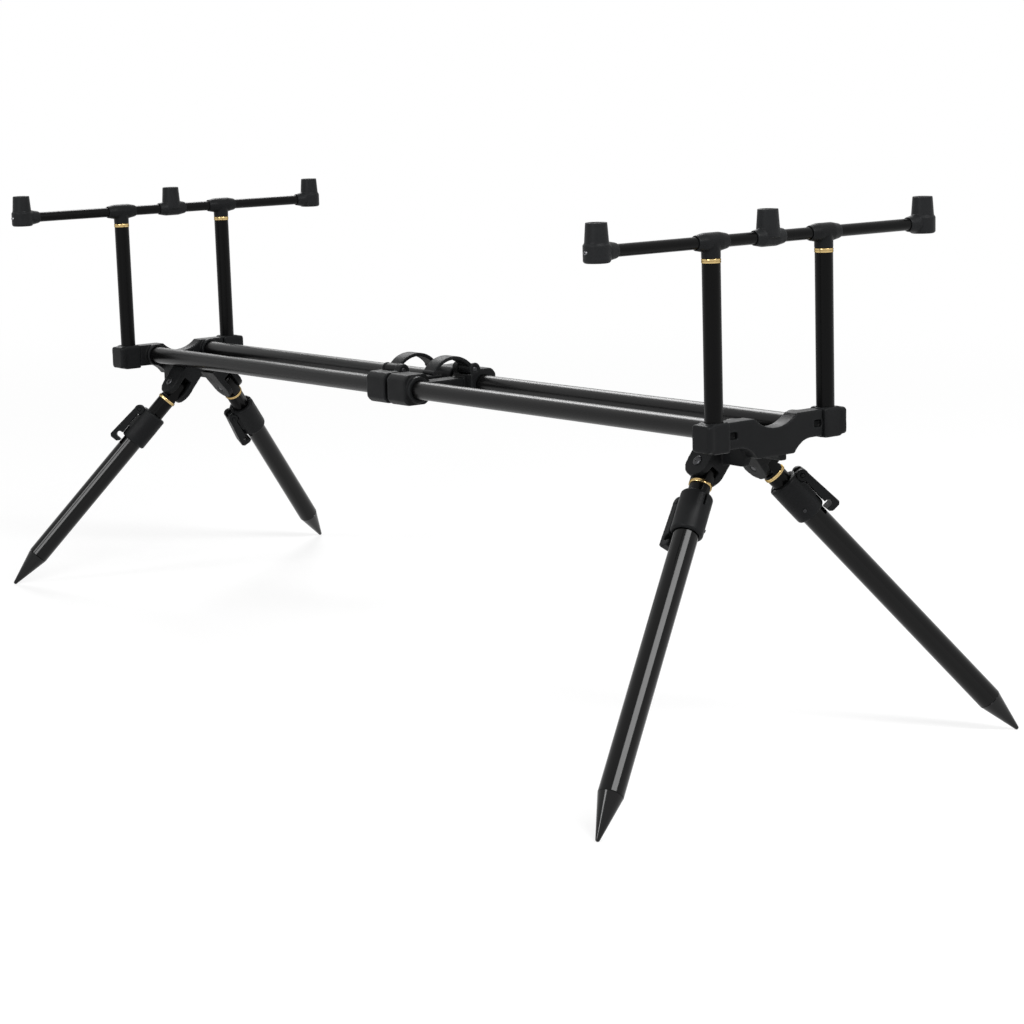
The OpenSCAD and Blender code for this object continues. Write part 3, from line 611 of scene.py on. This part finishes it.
def foot_finish():
    """Gloss black spike, with lines from turning and slow changes of tone."""
    if "foot_spike" in bpy.data.materials:
        return bpy.data.materials["foot_spike"]
    look = finishes()
    finish, tree, shader = new_finish("foot_spike")
    uv = node_in(tree, "ShaderNodeUVMap", uv_map="finish")
    place = node_in(tree, "ShaderNodeTexCoord").outputs["Object"]
    lines = placed_group(tree, drawn_lines_group(), UV=uv.outputs["UV"], Round=2.0, Along=4000.0)
    grain = placed_group(tree, moulded_grain_group(), Vector=place, Grain_Size=look.grain_size)
    tone = mixed(tree, grain.outputs["Tone"], scaled(look.tube_colour, 0.9), scaled(look.tube_colour, 1.9))
    tree.links.new(tone, shader.inputs["Base Color"])
    tree.links.new(ranged(tree, grain.outputs["Gloss"], 0.15, 0.1), shader.inputs["Roughness"])
    shader.inputs["Specular IOR Level"].default_value = 0.25
    bumped(tree, shader, lines.outputs["Height"], distance=0.00004, strength=0.3)
    return finish


def tube_finish(name="anodised_tube", shade=0.7, rough=(0.22, 0.32), shine=0.1):
    """Black anodising over drawn tube; shade, rough and shine tell the posts, rails and legs apart."""
    if name in bpy.data.materials:
        return bpy.data.materials[name]
    finish, tree, shader = new_finish(name)
    uv = node_in(tree, "ShaderNodeUVMap", uv_map="finish")
    lines = placed_group(tree, drawn_lines_group(), UV=uv.outputs["UV"], Round=70.0, Along=6.0)
    base = scaled(finishes().tube_colour, shade)
    tone = mixed(tree, lines.outputs["Smudge"], scaled(base, 0.7), scaled(base, 1.4))
    tree.links.new(tone, shader.inputs["Base Color"])
    tree.links.new(ranged(tree, lines.outputs["Smudge"], *rough), shader.inputs["Roughness"])
    shader.inputs["Specular IOR Level"].default_value = shine
    bumped(tree, shader, lines.outputs["Height"], distance=0.00002, strength=0.25)
    return finish


def rail_finish():
    return tube_finish("satin_rail", shade=1.8, rough=(0.25, 0.35), shine=0.19)


def leg_finish():
    return tube_finish("gloss_leg", shade=0.4, rough=(0.08, 0.13), shine=0.2)


def metal_finish(name, colour, rough, around, along, edge=1.0):
    """Turned metal with fine tool lines; an edge below one dims what it reflects at a grazing angle."""
    if name in bpy.data.materials:
        return bpy.data.materials[name]
    finish, tree, shader = new_finish(name)
    uv = node_in(tree, "ShaderNodeUVMap", uv_map="finish")
    lines = placed_group(tree, drawn_lines_group(), UV=uv.outputs["UV"], Round=around, Along=along)
    tone = mixed(tree, lines.outputs["Smudge"], scaled(colour, 0.82), scaled(colour, 1.12))
    tree.links.new(tone, shader.inputs["Base Color"])
    gloss = ranged(tree, lines.outputs["Height"], rough - 0.06, rough + 0.1)
    tree.links.new(gloss, shader.inputs["Roughness"])
    shader.inputs["Metallic"].default_value = 1
    shader.inputs["Specular Tint"].default_value = (edge, edge, edge, 1)
    bumped(tree, shader, lines.outputs["Height"], distance=0.00003, strength=0.3)
    return finish


def gold_finish():
    return metal_finish(
        "gold_anodising", finishes().gold_colour, rough=0.18, around=2.0, along=9000.0, edge=0.1)


def brass_finish():
    return metal_finish("turned_brass", finishes().brass_colour, rough=0.28, around=2.0, along=7000.0)


def steel_finish():
    return metal_finish("screw_steel", finishes().steel_colour, rough=0.3, around=30.0, along=900.0)


def blacked_finish():
    return metal_finish("blacked_steel", finishes().blacked_colour, rough=0.36, around=30.0, along=900.0)


class TreeMaker:
    """Adds nodes to a Geometry Nodes tree and links them."""

    def __init__(self, name, inputs):
        self.tree = bpy.data.node_groups.new(name, "GeometryNodeTree")
        self.ids = {}
        for label, kind in (("Geometry", "NodeSocketGeometry"), *inputs):
            self.ids[label] = socket(self.tree, label, kind).identifier
        socket(self.tree, "Geometry", "NodeSocketGeometry", False)
        self.given = node_in(self.tree, "NodeGroupInput").outputs

    def add(self, kind, links=(), **values):
        """A node with its settings; links are pairs of an input's name or number and a socket or value."""
        node = node_in(self.tree, kind, **values)
        for key, value in links:
            if isinstance(value, bpy.types.NodeSocket):
                self.tree.links.new(value, node.inputs[key])
            else:
                node.inputs[key].default_value = value
        return node

    def calc(self, operation, a, b=0.0, clamp=False):
        """A Math node on two sockets or numbers; returns its output."""
        return self.add("ShaderNodeMath", ((0, a), (1, b)), operation=operation, use_clamp=clamp).outputs[0]

    def finish(self, geometry, material):
        """Ends the tree in realised instances with a material."""
        real = self.add("GeometryNodeRealizeInstances", (("Geometry", geometry),))
        dressed = self.add(
            "GeometryNodeSetMaterial", (("Geometry", real.outputs[0]), ("Material", material)))
        end = node_in(self.tree, "NodeGroupOutput")
        self.tree.links.new(dressed.outputs[0], end.inputs[0])
        return self

    def run(self, name, places, axes, values):
        """Bakes the tree on points, each with its own axis."""
        mesh = bpy.data.meshes.new(name)
        mesh.from_pydata([tuple(p) for p in places], [], [])
        stored = mesh.attributes.new("axis", "FLOAT_VECTOR", "POINT")
        stored.data.foreach_set("vector", [v for axis in axes for v in axis])
        obj = new_object(name, mesh)
        modifier = obj.modifiers.new("nodes", "NODES")
        modifier.node_group = self.tree
        for label, value in values.items():
            modifier[self.ids[label]] = value
        return baked(obj)

    def on_points(self, shape):
        """Puts a shape on each point, its z along the point's axis."""
        axis = self.add("GeometryNodeInputNamedAttribute", (("Name", "axis"),), data_type="FLOAT_VECTOR")
        turn = self.add("FunctionNodeAlignRotationToVector", (("Vector", axis.outputs[0]),), axis="Z")
        placed = self.add(
            "GeometryNodeInstanceOnPoints",
            (("Points", self.given["Geometry"]), ("Instance", shape), ("Rotation", turn.outputs[0])))
        return placed.outputs[0]


def threaded_sleeves():
    """Tree that puts a sleeve with a helical thread in its bore on each point."""
    maker = TreeMaker("threaded_sleeves", (
        ("Bore", "NodeSocketFloat"), ("Outer", "NodeSocketFloat"), ("Length", "NodeSocketFloat"),
        ("Pitch", "NodeSocketFloat"), ("Depth", "NodeSocketFloat"), ("Columns", "NodeSocketInt"),
        ("Rows", "NodeSocketInt"), ("Material", "NodeSocketMaterial")))
    given, add, calc = maker.given, maker.add, maker.calc
    grid = add("GeometryNodeMeshGrid", (
        ("Size X", 1.0), ("Size Y", 1.0), ("Vertices X", given["Columns"]),
        ("Vertices Y", calc("ADD", given["Rows"], 4.0))))
    place = add("GeometryNodeInputPosition")
    part = add("ShaderNodeSeparateXYZ", ((0, place.outputs[0]),))
    turn = calc("ADD", part.outputs["X"], 0.5)
    row = calc("MULTIPLY", calc("ADD", part.outputs["Y"], 0.5), calc("ADD", given["Rows"], 3.0))
    down = calc("DIVIDE", calc("SUBTRACT", row, 2.0), given["Rows"])
    level = calc("SUBTRACT", 1.0, down, clamp=True)
    height = calc("MULTIPLY", calc("MULTIPLY", level, given["Length"]), calc("GREATER_THAN", row, 0.5))
    wave = calc("FRACT", calc("SUBTRACT", calc("DIVIDE", height, given["Pitch"]), turn))
    ridge = calc("ABSOLUTE", calc("SUBTRACT", calc("MULTIPLY", wave, 2.0), 1.0))
    bore = calc("ADD", given["Bore"], calc("MULTIPLY", ridge, given["Depth"]))
    outside = calc("ADD", calc("LESS_THAN", row, 1.5),
                   calc("GREATER_THAN", row, calc("ADD", given["Rows"], 2.5)))
    radius = calc("ADD", calc("MULTIPLY", bore, calc("SUBTRACT", 1.0, outside)),
                  calc("MULTIPLY", given["Outer"], outside))
    angle = calc("MULTIPLY", turn, 2 * math.pi)
    moved = add("ShaderNodeCombineXYZ", (
        ("X", calc("MULTIPLY", radius, calc("COSINE", angle))),
        ("Y", calc("MULTIPLY", radius, calc("SINE", angle))), ("Z", height)))
    uv = add("ShaderNodeCombineXYZ", (("X", turn), ("Y", calc("MULTIPLY", row, 0.001))))
    marked = add("GeometryNodeStoreNamedAttribute", (
        ("Geometry", grid.outputs["Mesh"]), ("Name", "finish"), ("Value", uv.outputs[0])),
        data_type="FLOAT2", domain="CORNER")
    shaped = add("GeometryNodeSetPosition", (
        ("Geometry", marked.outputs[0]), ("Position", moved.outputs[0])))
    closed = add("GeometryNodeMergeByDistance", (
        ("Geometry", shaped.outputs[0]), ("Distance", 0.000005)))
    return maker.finish(maker.on_points(closed.outputs[0]), given["Material"])


def socket_screws():
    """Tree that puts a chamfered screw head with a hexagon socket on each point."""
    maker = TreeMaker("socket_screws", (
        ("Radius", "NodeSocketFloat"), ("Height", "NodeSocketFloat"), ("Socket", "NodeSocketFloat"),
        ("Material", "NodeSocketMaterial")))
    given, add, calc = maker.given, maker.add, maker.calc
    rim = calc("MULTIPLY", given["Radius"], 0.86)
    head = add("GeometryNodeMeshCone", (
        ("Vertices", 40), ("Radius Top", rim), ("Radius Bottom", given["Radius"]),
        ("Depth", given["Height"])))
    key = add("GeometryNodeMeshCylinder", (
        ("Vertices", 6), ("Radius", given["Socket"]), ("Depth", calc("MULTIPLY", given["Height"], 1.2))))
    lift = add("ShaderNodeCombineXYZ", (("Z", calc("MULTIPLY", given["Height"], 0.9)),))
    raised = add("GeometryNodeTransform", (
        ("Geometry", key.outputs["Mesh"]), ("Translation", lift.outputs[0])))
    cut = add("GeometryNodeMeshBoolean", (
        ("Mesh 1", head.outputs["Mesh"]), ("Mesh 2", raised.outputs[0])), operation="DIFFERENCE")
    return maker.finish(maker.on_points(cut.outputs["Mesh"]), given["Material"])


class POD_OT_stage(bpy.types.Operator):
    """Make the floor, the lamps, the world and the camera"""

    bl_idname = "pod.stage"
    bl_label = "Stage"

    def execute(self, context):
        stage = context.scene.pod_stage
        scene = context.scene
        scene.view_settings.view_transform = "Standard"
        self.floor(stage)
        self.world(scene, stage)
        self.lamps()
        camera = bpy.data.cameras.new("camera")
        camera.lens = stage.lens
        camera.sensor_width = 36
        camera.clip_end = 500
        obj = new_object("camera", camera)
        back = Vector(stage.camera_back).normalized()
        aim = (-back).to_track_quat("-Z", "Y").to_matrix().to_4x4()
        obj.matrix_world = Matrix.Translation(stage.camera_place) @ aim
        scene.camera = obj
        return {"FINISHED"}

    def seen(self, tree):
        """One where the camera, a reflection or a see-through surface looks, else nought."""
        path = node_in(tree, "ShaderNodeLightPath")
        seen = math_in(tree, "ADD", path.outputs["Is Camera Ray"], path.outputs["Is Glossy Ray"], clamp=True)
        return math_in(tree, "ADD", seen, path.outputs["Is Transmission Ray"], clamp=True)

    def floor(self, stage):
        """A pale floor that is lit near the object, so that it takes shadows, and fades to plain white."""
        half = stage.floor_size / 2
        corners = [(-half, -half, 0), (half, -half, 0), (half, half, 0), (-half, half, 0)]
        mesh = bpy.data.meshes.new("floor")
        mesh.from_pydata(corners, [], [(0, 1, 2, 3)])
        finish = bpy.data.materials.new("pale_floor")
        finish.use_nodes = True
        tree = finish.node_tree
        tree.nodes.clear()
        matt = node_in(tree, "ShaderNodeBsdfDiffuse")
        matt.inputs["Color"].default_value = (FLOOR_SHADE, FLOOR_SHADE, FLOOR_SHADE, 1)
        thin = node_in(tree, "ShaderNodeBsdfDiffuse")
        glow = node_in(tree, "ShaderNodeEmission")
        reach = node_in(tree, "ShaderNodeVectorMath", operation="LENGTH")
        tree.links.new(node_in(tree, "ShaderNodeTexCoord").outputs["Object"], reach.inputs[0])
        away = node_in(tree, "ShaderNodeMapRange", interpolation_type="SMOOTHSTEP")
        tree.links.new(reach.outputs["Value"], away.inputs["Value"])
        away.inputs["From Min"].default_value, away.inputs["From Max"].default_value = FLOOR_FADE
        tree.links.new(ranged(tree, away.outputs["Result"], FLOOR_GLOW, 1.0), glow.inputs["Strength"])
        tone = mixed(tree, away.outputs["Result"], (FLOOR_LIT, FLOOR_LIT, FLOOR_LIT), (0, 0, 0))
        tree.links.new(tone, thin.inputs["Color"])
        both = node_in(tree, "ShaderNodeAddShader")
        tree.links.new(thin.outputs[0], both.inputs[0])
        tree.links.new(glow.outputs[0], both.inputs[1])
        pick = node_in(tree, "ShaderNodeMixShader")
        tree.links.new(self.seen(tree), pick.inputs[0])
        tree.links.new(matt.outputs[0], pick.inputs[1])
        tree.links.new(both.outputs[0], pick.inputs[2])
        out = node_in(tree, "ShaderNodeOutputMaterial")
        tree.links.new(pick.outputs[0], out.inputs["Surface"])
        mesh.materials.append(finish)
        new_object("floor", mesh)

    def world(self, scene, stage):
        """White where it is seen, and a low even light elsewhere."""
        world = bpy.data.worlds.new("studio")
        world.use_nodes = True
        tree = world.node_tree
        light = tree.nodes["Background"]
        light.inputs["Color"].default_value = (1, 1, 1, 1)
        level = node_in(tree, "ShaderNodeMix", data_type="FLOAT")
        tree.links.new(self.seen(tree), level.inputs["Factor"])
        level.inputs[2].default_value = stage.ambient
        level.inputs[3].default_value = 1.0
        tree.links.new(level.outputs[0], light.inputs["Strength"])
        scene.world = world

    def lamps(self):
        """Two long soft boxes, high on the right and low on the left, and two broad far lamps."""
        for name, place, along, length, width, power in SOFT_BOXES:
            lamp = bpy.data.lights.new(name, "AREA")
            lamp.shape = "RECTANGLE"
            lamp.size, lamp.size_y = length, width
            lamp.energy = power
            back = Vector(place).normalized()
            side = (Vector(along) - back * back.dot(Vector(along))).normalized()
            turn = Matrix((side, back.cross(side), back)).transposed().to_4x4()
            new_object(name, lamp).matrix_world = Matrix.Translation(place) @ turn
        for name, toward, level, width in FAR_LAMPS:
            lamp = bpy.data.lights.new(name, "SUN")
            lamp.energy = level
            lamp.angle = math.radians(width)
            turn = Vector(toward).to_track_quat("Z", "Y")
            new_object(name, lamp).matrix_world = turn.to_matrix().to_4x4()


class POD_OT_brackets(bpy.types.Operator):
    """Round the two end brackets"""

    bl_idname = "pod.brackets"
    bl_label = "End brackets"

    def execute(self, context):
        for end in ENDS:
            moulded(f"{end}_bracket")
        return {"FINISHED"}


class POD_OT_rails(bpy.types.Operator):
    """Draw the two rails"""

    bl_idname = "pod.rails"
    bl_label = "Rails"

    def execute(self, context):
        for side in SIDES:
            drawn_tube(f"rail_{side}", RAIL_AXIS, rail_finish())
        return {"FINISHED"}


class POD_OT_clamps(bpy.types.Operator):
    """Round the middle clamps and their bow levers"""

    bl_idname = "pod.clamps"
    bl_label = "Middle clamps"

    def execute(self, context):
        for end in ENDS:
            moulded(f"{end}_clamp")
            moulded(f"{end}_clamp_lever", FINE_SKIN, FINE_SOFTNESS)
        return {"FINISHED"}


class POD_OT_posts(bpy.types.Operator):
    """Make the goal posts: blocks, uprights, rings, tees and cross bars"""

    bl_idname = "pod.posts"
    bl_label = "Goal posts"

    def execute(self, context):
        for end in ENDS:
            for side in SIDES:
                moulded(f"{end}_{side}_block", FINE_SKIN, BLOCK_SOFTNESS)
                moulded(f"{end}_{side}_tee", FINE_SKIN, FINE_SOFTNESS)
                drawn_tube(f"{end}_{side}_upright", POST_AXIS, tube_finish())
            drawn_tube(f"{end}_bar", BAR_AXIS, tube_finish())
            self.rings(f"{end}_post_rings")
        return {"FINISHED"}

    def rings(self, node):
        points = points_of(node)
        halves = (points[points[:, 1] < 0], points[points[:, 1] > 0])
        meshes = [trim_ring(half, POST_AXIS, node + ".part") for half in halves]
        obj = new_object(node + ".dressed", joined(node + ".mesh", meshes))
        settle(obj, [node], gold_finish())


class POD_OT_sockets(bpy.types.Operator):
    """Round the sockets on the cross bars and thread their inserts"""

    bl_idname = "pod.sockets"
    bl_label = "Sockets"

    def execute(self, context):
        tree = threaded_sleeves()
        for end in ENDS:
            for place in ("left", "centre", "right"):
                # Painted light: the sockets get the lighter copy of the moulding finish
                moulded(f"{end}_{place}_socket", FINE_SKIN, finish=painted_light_socket_finish())
            self.inserts(tree, f"{end}_inserts")
        return {"FINISHED"}

    def inserts(self, tree, node):
        points = points_of(node)
        y = points[:, 1]
        third = (y.max() - y.min()) / 3
        limits = (-math.inf, y.min() + third, y.max() - third, math.inf)
        origins = []
        for low, high in zip(limits, limits[1:]):
            origin, length, outer, inner = measured_tube(points[(y > low) & (y < high)], POST_AXIS)
            origins.append(origin)
        size = shapes()
        rows = int(length / size.thread_pitch * THREAD_ROWS_PER_TURN)
        obj = tree.run(node + ".dressed", origins, [POST_AXIS] * len(origins), {
            "Bore": inner, "Outer": outer, "Length": length, "Pitch": size.thread_pitch,
            "Depth": size.thread_depth, "Columns": THREAD_COLUMNS, "Rows": rows, "Material": brass_finish()})
        bm = bmesh.new()
        bm.from_mesh(obj.data)
        bmesh.ops.recalc_face_normals(bm, faces=bm.faces)
        bm.to_mesh(obj.data)
        bm.free()
        smoothed(obj.data, 50)
        settle(obj, [node], brass_finish())


class POD_OT_legs(bpy.types.Operator):
    """Draw the leg tubes, turn the rings and the feet, and round the locks and their levers"""

    bl_idname = "pod.legs"
    bl_label = "Legs"

    def execute(self, context):
        for leg in LEGS:
            axis = Vector(JOINTS[f"{leg}_leg_slide"]["axis"]).normalized()
            root = Vector(JOINTS[f"{leg}_leg_fold"]["pos_m"])
            self.upper_tube(f"{leg}_leg_tube", root, axis)
            drawn_tube(f"{leg}_lower_tube", axis, leg_finish())
            moulded(f"{leg}_lock", LOCK_SKIN, FINE_SOFTNESS)
            moulded(f"{leg}_lever", FINE_SKIN, FINE_SOFTNESS)
            node = f"{leg}_leg_ring"
            ring = trim_ring(points_of(node), axis, node + ".mesh")
            settle(new_object(node + ".dressed", ring), [node], gold_finish())
            self.foot(f"{leg}_foot", root, axis)
        return {"FINISHED"}

    def upper_tube(self, node, root, axis):
        obj = merged_copy(node)
        bevel = obj.modifiers.new("rims", "BEVEL")
        bevel.limit_method = "ANGLE"
        bevel.angle_limit = math.radians(40)
        bevel.width = shapes().rim
        bevel.segments = 2
        baked(obj)
        smoothed(obj.data, 35)
        wrap_uv(obj.data, root, axis)
        settle(obj, [node], tube_finish())

    def foot(self, node, root, axis):
        along, radial = stations(points_of(node), root, axis)
        outer = radial.max()
        start, end = along.min(), along.max()
        seam = along[radial > outer - LEVEL].min()
        plug = radial[along < start + LEVEL].max()
        tip = max(radial[along < end - LEVEL].min(), shapes().tip_radius)
        soft = shapes().rim
        outline = [(start, 0), (start, plug), (seam, plug), (seam, outer - soft), (seam + soft, outer)]
        slope = math.atan2(outer - tip, end - tip - seam)
        for step in range(TIP_STEPS + 1):
            turn = slope + (math.pi / 2 - slope) * step / TIP_STEPS
            outline.append((end - tip + tip * math.sin(turn), tip * math.cos(turn)))
        mesh = turned_mesh(node + ".mesh", root, axis, outline, shapes().facets, False)
        settle(new_object(node + ".dressed", mesh), [node], foot_finish())


class POD_OT_pins(bpy.types.Operator):
    """Turn the leg pins and the clamp pins"""

    bl_idname = "pod.pins"
    bl_label = "Pins"

    def execute(self, context):
        for end in ENDS:
            self.leg_pins(end)
            node = f"{end}_clamp_pin"
            origin, length, outer, _ = measured_tube(points_of(node), RAIL_AXIS)
            soft = 0.25 * outer
            outline = [
                (0, 0), (0, outer - soft), (soft, outer),
                (length - soft, outer), (length, outer - soft), (length, 0)]
            mesh = turned_mesh(node + ".mesh", origin, RAIL_AXIS, outline, shapes().facets, False)
            settle(new_object(node + ".dressed", mesh), [node], blacked_finish())
        return {"FINISHED"}

    def leg_pins(self, end):
        node = f"{end}_leg_pins"
        points = points_of(node)
        meshes = []
        for side in SIDES:
            fold = JOINTS[f"{end}_{side}_leg_fold"]
            axis, origin = Vector(fold["axis"]).normalized(), Vector(fold["pos_m"])
            near = points[(points[:, 1] < 0) == (side == "left")]
            along, radial = stations(near, origin, axis)
            if along[radial.argmax()] < 0:
                axis = -axis
                along = -along
            shaft, head = np.sort(np.unique(radial.round(5)))[[-2, -1]]
            low, high = along.min(), along.max()
            step = along[radial > head - LEVEL].min()
            dome = high - step
            outline = [(low, 0), (low, 0.8 * shaft), (low + 0.2 * shaft, shaft), (step, shaft), (step, head)]
            outline += [(step + 0.45 * dome, head), (step + 0.8 * dome, 0.86 * head), (high, 0.6 * head)]
            outline += [(high, 0.3 * head), (high - 0.3 * dome, 0.2 * head), (high - 0.3 * dome, 0)]
            meshes.append(turned_mesh(node + ".part", origin, axis, outline, shapes().facets, False))
        obj = new_object(node + ".dressed", joined(node + ".mesh", meshes))
        settle(obj, [node], blacked_finish())


class POD_OT_screws(bpy.types.Operator):
    """Put small socket screws in the outer sockets and the leg locks"""

    bl_idname = "pod.screws"
    bl_label = "Screws"

    def execute(self, context):
        tree = socket_screws()
        for end in ENDS:
            places, axes = [], []
            for side, out in (("left", -1), ("right", 1)):
                low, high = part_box(f"{end}_{side}_socket")
                bar = points_of(f"{end}_bar")
                middle = (bar.max(axis=0) + bar.min(axis=0)) / 2
                places.append((middle[0], low[1] if out < 0 else high[1], middle[2]))
                axes.append((0, out, 0))
            self.put(tree, f"{end}_post", places, axes, steel_finish())
        for leg in LEGS:
            axis = Vector(JOINTS[f"{leg}_leg_slide"]["axis"]).normalized()
            root = Vector(JOINTS[f"{leg}_leg_fold"]["pos_m"])
            pin = Vector(JOINTS[f"{leg}_lever_turn"]["pos_m"]) - root
            lever = (pin - axis * pin.dot(axis)).normalized()
            out = Matrix.Rotation(math.radians(shapes().screw_turn), 3, axis) @ lever
            along, radial = stations(points_of(f"{leg}_lock"), root, axis)
            wall = radial[along > along.max() - LOCK_END].max()
            place = root + axis * (along.max() - shapes().screw_inset) + out * wall
            self.put(tree, f"{leg}_lower_leg", [place], [out], blacked_finish())
        return {"FINISHED"}

    def put(self, tree, body, places, axes, finish):
        size = shapes().screw_radius
        obj = tree.run(f"{body}.screws", places, axes, {
            "Radius": size, "Height": 0.6 * size, "Socket": 0.5 * size, "Material": finish})
        smoothed(obj.data, 30)
        settle(obj, [], finish, body)


class POD_PT_dressing(bpy.types.Panel):
    """Sizes, colours and steps of the rod pod's dressing"""

    bl_label = "Rod pod"
    bl_idname = "POD_PT_dressing"
    bl_space_type = "VIEW_3D"
    bl_region_type = "UI"
    bl_category = "Rod pod"

    def draw(self, context):
        for settings in (context.scene.pod_finishes, context.scene.pod_shapes, context.scene.pod_stage):
            box = self.layout.box()
            for name in settings.__annotations__:
                box.prop(settings, name)
        for step in STEPS:
            self.layout.operator(step.bl_idname)


STEPS = (
    POD_OT_stage,
    POD_OT_brackets,
    POD_OT_rails,
    POD_OT_clamps,
    POD_OT_posts,
    POD_OT_sockets,
    POD_OT_legs,
    POD_OT_pins,
    POD_OT_screws,
)
CLASSES = (PodFinishes, PodShapes, PodStage, *STEPS, POD_PT_dressing)


def register():
    for cls in CLASSES:
        bpy.utils.register_class(cls)
    bpy.types.Scene.pod_finishes = PointerProperty(type=PodFinishes)
    bpy.types.Scene.pod_shapes = PointerProperty(type=PodShapes)
    bpy.types.Scene.pod_stage = PointerProperty(type=PodStage)


def unregister():
    del bpy.types.Scene.pod_stage
    del bpy.types.Scene.pod_shapes
    del bpy.types.Scene.pod_finishes
    for cls in reversed(CLASSES):
        bpy.utils.unregister_class(cls)


def main():
    register()
    for step in STEPS:
        group, name = step.bl_idname.split(".")
        getattr(getattr(bpy.ops, group), name)()


if __name__ == "__main__":
    main()
